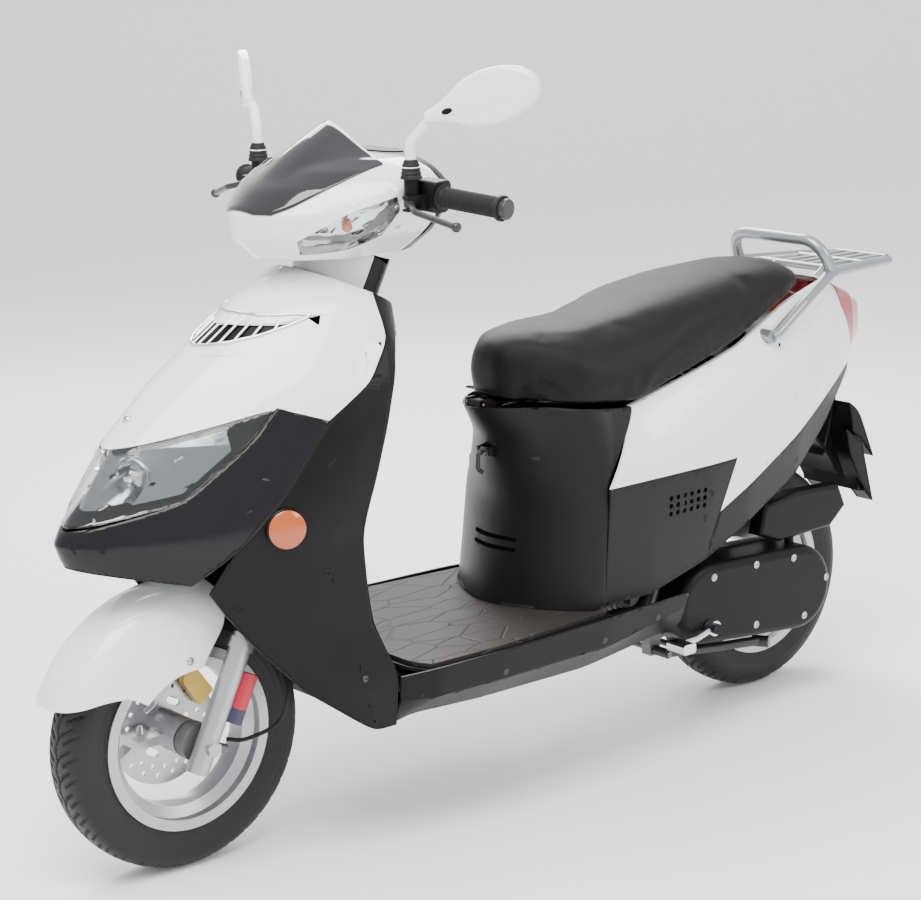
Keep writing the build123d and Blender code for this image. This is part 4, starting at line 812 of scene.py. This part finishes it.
warm_glass = acrylic("Bulb glass", (0.95, 0.93, 0.88), 0.04)
# The housing behind the lens is dark grey metal instead of bright metallised: painted shade for the dark inside of the
# lamp.
shade_darkened_metal = finish("Metallised housing darkened as painted shade", (0.30, 0.31, 0.32), (0.22, 0.23, 0.24), 0.22, 0.05,
                      60.0, 30.0,
                      0.00012, Metallic=1.0)
lamp_low, lamp_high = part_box("headlight_housing")
lamp_middle = Vector((lamp_low.x, 0, (lamp_low.z + lamp_high.z) / 2))
bm = bmesh.new()
bm.from_mesh(frame["nodes"]["headlight_housing"].data)
for vert in bm.verts:
    vert.co = lamp_middle + (vert.co - lamp_middle) * 0.90
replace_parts(new_piece("lamp_housing", bm, "chassis", shade_darkened_metal), "headlight_housing")
for side in (1, -1):
    label = "left" if side > 0 else "right"
    mouth = Vector((0.860, side * 0.062, 0.628))
    way = Vector((0.93, side * 0.2, -0.3)).normalized()
    seat_place = mouth - way * 112 * MM
    bowl = [(7 * MM, 0), (12 * MM, 2 * MM), (18 * MM, 5.5 * MM), (25 * MM, 11 * MM), (31 * MM, 18 * MM),
            (33 * MM, 21 * MM), (31.5 * MM, 21 * MM), (24 * MM,
                                                       13 * MM), (17 * MM, 7.5 * MM), (6 * MM, 3 * MM)]
    turned("lamp_bowl_" + label, bowl, seat_place, way, "chassis", metallised, 48)
    bulb = [(4.5 * MM, 0), (4.5 * MM, 10 * MM), (6 * MM, 12 * MM), (6 * MM, 26 * MM), (4.5 * MM, 31 * MM),
            (2 * MM, 33 * MM), (0, 33.4 * MM)]
    turned("lamp_bulb_" + label, bulb, seat_place + way * 4 * MM, way, "chassis", warm_glass,
           28)
    cap = [(8.5 * MM, 0), (8.5 * MM, 7 * MM), (5 * MM, 9 * MM), (0, 9.4 * MM)]
    turned("lamp_shade_" + label, cap, seat_place + way * 31 * MM, way, "chassis", bright_chrome,
           32)


# ------------------------------------------------------------------ flashers
# Behind each clear lens an orange bulb stands in front of a bright backing sheet.

bulb_orange = finish("Orange bulb", (0.95, 0.20, 0.01), (0.85, 0.14, 0.01), 0.12, 0.04, 300.0, 60.0, 0.00002,
                     Coat_Weight=0.6)
for side in (1, -1):
    label = "left" if side > 0 else "right"
    place, way = skin_point("indicator_lenses", (0.43, side * 0.5, 1.0), (0, -side, 0))
    turned("flasher_bulb_" + label,
           [(6 * MM, 0), (6 * MM, 8 * MM), (8.5 * MM, 12 * MM), (8.5 * MM, 17 * MM), (5 * MM, 22 * MM),
            (0, 24 * MM)],
           place - way * 31 * MM, way, "steering", bulb_orange, 28)
    bm = bmesh.new()
    bm.from_mesh(frame["nodes"]["indicator_lenses"].data)
    bmesh.ops.remove_doubles(bm, verts=bm.verts, dist=0.05 * MM)
    other = [vert for vert in bm.verts if vert.co.y * side < 0]
    bmesh.ops.delete(bm, geom=other, context="VERTS")
    middle = sum((vert.co for vert in bm.verts), Vector()) / len(bm.verts)
    for vert in bm.verts:
        vert.co = middle + (vert.co - middle) * 0.90 - way * 22 * MM
    new_piece("flasher_backing_" + label, bm, "steering", metallised)


# ------------------------------------------------------------------ side reflectors
# A round amber reflector with a black rim is pressed into each side of the apron.

for side in (1, -1):
    label = "left" if side > 0 else "right"
    place, way = skin_point("leg_sides", (0.598, side * 0.4, 0.566), (0, -side, 0))
    lens = turned("reflector_" + label, [(27 * MM, 0), (30 * MM, 5 * MM), (30 * MM, 9 * MM),
                                         (27 * MM, 11.5 * MM),
                  (14 * MM,
                   13 * MM), (0, 13.4 * MM)], place - way * 1 * MM, way, "chassis", amber_plastic, 48)
    turned("reflector_rim_" + label, [(32.5 * MM, -1 * MM), (32.5 * MM, 6 * MM), (31 * MM, 7.5 * MM),
           (30.1 * MM, 7 * MM), (30.1 * MM, 2 * MM)], place - way * 1 * MM, way, "chassis", satin_black,
           48)
    if side > 0:
        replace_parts(lens, "side_reflectors")


# ------------------------------------------------------------------ mirror glass and collars
# A flat silvered glass is glued into the back of each shell, and a rubber bellows covers the arm's foot.

silvered = finish("Silvered glass", (0.86, 0.88, 0.88), (0.84, 0.86, 0.86), 0.03, 0.01, 100.0, 5.0, 0.0,
                  Metallic=1.0)
LEAF = ((-112, 9.5, 9), (-96, 13, 9), (-78, 19, 9.5), (-56, 30, 10), (-30, 39, 10.5), (0, 43, 10.5),
        (28, 41, 10),
        (52, 33, 9), (68, 22, 7.5), (77, 9, 5))


def shell_point(shell, start, way):
    """Where a line first meets a finished piece."""
    data = shell.data
    tree = BVHTree.FromPolygons([vert.co for vert in data.vertices],
                                [face.vertices for face in data.polygons])
    return tree.ray_cast(start, way)[0]


def mirror_shell(node, body, centre, long_way, face_way, short_way):
    """The arm and a leaf-shaped shell run together into one smooth moulding."""
    bm = bmesh.new()
    bm.from_mesh(frame["nodes"][node].data)
    bmesh.ops.remove_doubles(bm, verts=bm.verts, dist=0.05 * MM)
    rings = []
    for reach, half, deep in LEAF:
        middle = centre + long_way * reach * MM + face_way * 10.5 * MM
        rings.append([bm.verts.new(middle + short_way * math.cos(t) * half * MM + face_way * math.sin(t) * deep * MM)
                      for t in (2 * math.pi * k / 40 for k in range(40))])
    for one, two in zip(rings, rings[1:]):
        for k in range(40):
            bm.faces.new((one[k], one[(k + 1) % 40], two[(k + 1) % 40], two[k]))
    bm.faces.new(list(reversed(rings[0])))
    bm.faces.new(rings[-1])
    shell = new_piece(node + "_shell", bm, body, gloss_white)
    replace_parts(shell, node)
    bpy.context.view_layer.objects.active = shell
    shell.select_set(True)
    voxel = shell.modifiers.new("voxel", "REMESH")
    voxel.mode = "VOXEL"
    voxel.voxel_size = 2.4 * MM
    relax = shell.modifiers.new("relax", "SMOOTH")
    relax.factor = 0.5
    relax.iterations = 7
    for modifier in (voxel.name, relax.name):
        bpy.ops.object.modifier_apply(modifier=modifier)
    shell.select_set(False)
    shell.data.shade_smooth()
    return shell


for side, node, body in ((1, "mirror_left", "left_mirror"), (-1, "mirror_right", "right_mirror")):
    centre = Vector((0.282, side * 0.322, 1.204))
    long_way = Vector((-0.483, side * 0.824, 0.294)).normalized()
    face_way = Vector((0.863, side * 0.506, 0)).normalized()
    short_way = face_way.cross(long_way).normalized()
    shell = mirror_shell(node, body, centre, long_way, face_way, short_way)
    slot_place = shell_point(shell, centre - long_way * 72 * MM + face_way * 0.1, -face_way)
    if slot_place:
        bm = bmesh.new()
        bm.faces.new([bm.verts.new(slot_place + face_way * 0.4 * MM + long_way * math.cos(t) * 9 * MM
                                   + short_way * math.sin(t) * 4.6 * MM)
                      for t in (2 * math.pi * k / 32 for k in range(32))])
        new_piece(node + "_slot", bm, body, satin_black)
    bm = bmesh.new()
    layers = []
    for share, depth in ((0.0, -0.2), (0.5, -0.1), (0.97, 0.1), (1.0, 0.6)):
        if share == 0.0:
            layers.append([bm.verts.new(centre + face_way * depth * MM)])
            continue
        layers.append([bm.verts.new(centre + face_way * depth * MM + long_way * math.cos(t) * 71 * MM * share
                                    + short_way * math.sin(t) * 36 * MM * share)
                       for t in (2 * math.pi * k / 64 for k in range(64))])
    for k in range(64):
        n = (k + 1) % 64
        bm.faces.new((layers[0][0], layers[1][k], layers[1][n]))
        for inner, rim_ring in zip(layers[1:], layers[2:]):
            bm.faces.new((inner[k], rim_ring[k], rim_ring[n], inner[n]))
    bmesh.ops.recalc_face_normals(bm, faces=bm.faces)
    new_piece(node + "_glass", bm, body, silvered)
    foot = Vector((0.352, side * 0.204, 1.079))
    bellows = [(17 * MM, -1 * MM)]
    for ring in range(4):
        bellows += [((17 - ring) * MM, (2 + 6 * ring) * MM), ((15 - ring) * MM, (5 + 6 * ring) * MM)]
    bellows += [(10.5 * MM, 28 * MM), (9.2 * MM, 28.5 * MM)]
    turned(node + "_collar", bellows, foot, (0, 0, 1), body, soft_rubber, 36)


# ------------------------------------------------------------------ grips
# The grips are black rubber sleeves with raised rings and a flange at each end.

for side, node, body in ((1, "left_grip", "steering"), (-1, "throttle_grip", "throttle")):
    elbow = Vector((0.322, side * 0.190, 1.052))
    bar_end = Vector((0.283, side * 0.345, 1.036))
    way = (bar_end - elbow).normalized()
    low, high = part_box(node)
    inner_y = min(abs(low.y), abs(high.y)) + 3 * MM
    start = elbow + way * ((inner_y - abs(elbow.y)) / abs(way.y))
    reach = (max(abs(low.y), abs(high.y)) - 4 * MM - inner_y) / abs(way.y)
    sleeve = [(11.6 * MM, -1 * MM), (20.5 * MM, -1 * MM), (20.5 * MM, 3.5 * MM), (16 * MM, 5 * MM)]
    ribs = 22
    for rib in range(ribs):
        base = 7 * MM + (reach - 16 * MM) * rib / ribs
        step = (reach - 16 * MM) / ribs
        sleeve += [(15.4 * MM, base), (15.4 * MM, base + 0.35 * step), (16.4 * MM, base + 0.5 * step),
                   (16.4 * MM, base + 0.85 * step)]
    sleeve += [(16 * MM, reach - 7 * MM), (20 * MM, reach - 5 * MM), (20 * MM, reach), (11.6 * MM, reach)]
    grip = turned(node + "_sleeve", sleeve, start, way, body, soft_rubber, 40)
    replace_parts(grip, node)


# ------------------------------------------------------------------ fork sleeves
# A printed film band in red and navy wraps each slider, between the fender bolts and the axle.

fork_way = Vector(joint_at["fork_slide"]["axis"])
navy_film = finish("Navy film", (0.02, 0.02, 0.05), (0.03, 0.03, 0.07), 0.25, 0.05, 200.0, 20.0, 0.00001)
red_film = finish("Red film", (0.45, 0.01, 0.03), (0.40, 0.01, 0.03), 0.25, 0.05, 200.0, 20.0, 0.00001)
axle_place = Vector(joint_at["front_wheel_spin"]["pos_m"])
for side in (1, -1):
    label = "left" if side > 0 else "right"
    leg = axle_place + Vector((0, side * 0.086, 0))
    offset = Vector((-0.0293 * fork_way.z, 0, 0.0293 * fork_way.x))
    for film, film_name, start, end in ((red_film, "red", 70 * MM, 128 * MM),
                                        (navy_film, "navy", 46 * MM, 70 * MM)):
        place = leg + offset + fork_way * start
        turned("slider_band_%s_%s" % (film_name, label), [(18.05 * MM, 0), (18.35 * MM, 0.2 * MM),
               (18.35 * MM, end - start - 0.2 * MM), (18.05 * MM, end - start)],
               place, fork_way, "fork", film, 48)


# ------------------------------------------------------------------ speedometer cable
# A black sheathed cable runs from the drive on the hub, back and up behind the apron to the steering head.

low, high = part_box("speedo_drive")
cable_start = Vector((low.x, (low.y + high.y) / 2, (low.z + high.z) / 2 - 10 * MM))
cable_line = curve_through([cable_start, cable_start + Vector((-0.03, 0.012, -0.004)),
                            cable_start + Vector((-0.085, 0.022, 0.012)),
                            (0.548, 0.098, 0.268), (0.520, 0.085, 0.330),
                            (0.505, 0.062, 0.420), (0.470, 0.040, 0.560), (0.430, 0.030, 0.700)], 10)
cable = bent("speedometer_cable", cable_line, 3.4 * MM, "fork", soft_rubber, 12)


# ------------------------------------------------------------------ rear shock
# A chrome spring wound round a black damper, with rubber-bushed eyes.

low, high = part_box("rear_shock")
foot = Vector((-0.603, (low.y + high.y) / 2, 0.320))
head = Vector((-0.546, (low.y + high.y) / 2, 0.524))
way = (head - foot).normalized()
side_way = way.orthogonal().normalized()
third_way = way.cross(side_way)
span = (head - foot).length
shock_body = turned("shock_damper", [(8 * MM, 12 * MM), (13 * MM, 16 * MM), (21 * MM, 24 * MM),
                                     (21 * MM, 28 * MM),
                                     (9 * MM, 29 * MM), (9 * MM, span - 34 * MM), (21 * MM, span - 33 * MM),
                                     (21 * MM, span - 27 * MM), (10 * MM,
                                                                 span - 20 * MM), (8 * MM, span - 12 * MM)],
                    foot, way, "chassis", black_steel)
coils = 8.5
winding = [foot + way * (30 * MM + (span - 66 * MM) * k / 240)
           + (side_way * math.cos(2 * math.pi * coils * k / 240) + third_way * math.sin(2 * math.pi * coils * k / 240))
           * 16.5 * MM for k in range(241)]
spring = bent("shock_spring", winding, 3.4 * MM, "chassis", bright_chrome, 10)
shock_eyes = []
for name, place in (("foot", foot), ("head", head)):
    eye = [(7 * MM, -10 * MM), (13 * MM, -10 * MM), (13 * MM, 10 * MM), (7 * MM, 10 * MM)]
    shock_eyes.append(turned("shock_eye_" + name, eye, place, (0, 1, 0), "chassis", black_steel))
for piece in (shock_body, spring, shock_eyes[0]):
    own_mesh(piece)
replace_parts(spring, "rear_shock")


# ------------------------------------------------------------------ side vents
# Each vent panel carries a dark pressed mesh over its air slot.

mesh_black = finish("Pressed mesh", (0.004, 0.004, 0.004), (0.008, 0.008, 0.008), 0.4, 0.1, 900.0, 20.0,
                    0.0001)
for side in (1, -1):
    label = "left" if side > 0 else "right"
    bars = []
    corners = [Vector((-0.175, 0, 0.488)), Vector((-0.300, 0, 0.492)), Vector((-0.318, 0, 0.458)),
               Vector((-0.252, 0, 0.434)), Vector((-0.186, 0, 0.446))]
    bm = bmesh.new()
    for row in range(7):
        for column in range(13):
            x = -0.178 - 0.0108 * column + (0.0054 if row % 2 else 0)
            z = 0.443 + 0.0072 * row
            inside = all(((b - a).x * (z - a.z) - (b - a).z * (x - a.x)) < 0.0
                         for a, b in zip(corners, corners[1:] + corners[:1]))
            if not inside:
                continue
            place, way = skin_point("vent_panels", (x, side * 0.4, z), (0, -side, 0))
            if place is None:
                continue
            across = way.cross(Vector((0, 0, 1))).normalized()
            upward = across.cross(way)
            hole = [bm.verts.new(place + way * 0.5 * MM + across * math.cos(t) * 4.2 * MM
                                 + upward * math.sin(t) * 2.6 * MM)
                    for t in (2 * math.pi * k / 6 for k in range(6))]
            bm.faces.new(hole)
    if bm.faces:
        bmesh.ops.recalc_face_normals(bm, faces=bm.faces)
        new_piece("vent_mesh_" + label, bm, "chassis", mesh_black)
    else:
        bm.free()


# ------------------------------------------------------------------ belt case details
# Bolts hold the belt case's cover round its rim.

for number, (x, z) in enumerate(((-0.36, 0.285), (-0.47, 0.287), (-0.57, 0.280), (-0.66, 0.225),
                                 (-0.60, 0.162),
                                 (-0.47, 0.172), (-0.36, 0.188))):
    place, way = skin_point("cvt_cover", (x, 0.5, z), (0, -1, 0))
    if place is not None and way.y > 0.8:
        dome_screw("case_bolt_%d" % number, place, way, 5.5 * MM, "drive_unit", bright_steel)


# ------------------------------------------------------------------ studio
# A pale floor that curves up behind, soft boxes and the camera at standing height, front left.

bm = bmesh.new()
sweep_back = Vector((-0.66, -0.75, 0)).normalized()
sweep_side = Vector((-sweep_back.y, sweep_back.x, 0))
profile_points = [(-9.0, 0.0), (5.0, 0.0)] + [(5.0 + 3 * math.sin(t), 3 - 3 * math.cos(t))
                                              for t in (math.pi / 2 * k / 12 for k in range(1,
                                                                                            13))] + [(8.0, 9.0)]
rows = [[bm.verts.new(sweep_back * reach + sweep_side * side + Vector((0, 0, cad_low.z - 0.0004 + rise)))
         for side in (-14, 0, 14)] for reach, rise in profile_points]
for row, following in zip(rows, rows[1:]):
    for k in range(2):
        bm.faces.new((row[k], row[k + 1], following[k + 1], following[k]))
floor_mesh = bpy.data.meshes.new("studio_floor")
bm.to_mesh(floor_mesh)
bm.free()
floor_mesh.shade_smooth()
floor = bpy.data.objects.new("studio_floor", floor_mesh)
bpy.context.scene.collection.objects.link(floor)
dress(floor, finish("Pale studio floor", (0.97, 0.97, 0.97), (0.95, 0.95, 0.95), 0.8, 0.05, 40.0, 0.6))

world = bpy.data.worlds.new("studio")
bpy.context.scene.world = world
world.use_nodes = True
world.node_tree.nodes["Background"].inputs["Color"].default_value = (0.97, 0.98, 1.0, 1)
world.node_tree.nodes["Background"].inputs["Strength"].default_value = 1.25

for name, place, aim, size, power in (
        ("key_box", (1.6, 1.0, 3.6), (0.0, 0.0, 0.5), 2.4, 190.0),
        ("side_box", (-1.8, 3.4, 2.6), (-0.3, 0.0, 0.5), 1.6, 65.0),
        ("back_box", (-1.5, -2.6, 3.2), (0.0, 0.0, 0.3), 2.4, 190.0)):
    lamp = bpy.data.lights.new(name, "AREA")
    lamp.size = size
    lamp.energy = power
    holder = bpy.data.objects.new(name, lamp)
    bpy.context.scene.collection.objects.link(holder)
    holder.location = place
    holder.rotation_mode = "QUATERNION"
    holder.rotation_quaternion = (Vector(aim) - Vector(place)).to_track_quat("-Z", "Y")

CAMERA_PLACE = Vector((2.6027, 3.0622, 1.5041))
CAMERA_YAW, CAMERA_PITCH, CAMERA_ROLL = -2.2556, -0.2307, -0.026
camera_data = bpy.data.cameras.new("camera")
camera_data.sensor_width = 36.0
camera_data.sensor_fit = "HORIZONTAL"
camera_data.lens = 92.95
camera = bpy.data.objects.new("camera", camera_data)
bpy.context.scene.collection.objects.link(camera)
ahead = Vector((math.cos(CAMERA_PITCH) * math.cos(CAMERA_YAW), math.cos(CAMERA_PITCH) * math.sin(CAMERA_YAW),
                math.sin(CAMERA_PITCH)))
level_right = ahead.cross(Vector((0, 0, 1))).normalized()
level_up = level_right.cross(ahead)
right = level_right * math.cos(CAMERA_ROLL) + level_up * math.sin(CAMERA_ROLL)
up = level_up * math.cos(CAMERA_ROLL) - level_right * math.sin(CAMERA_ROLL)
camera.matrix_world = Matrix.Translation(CAMERA_PLACE) @ Matrix((right, up, -ahead)).transposed().to_4x4()
bpy.context.scene.camera = camera
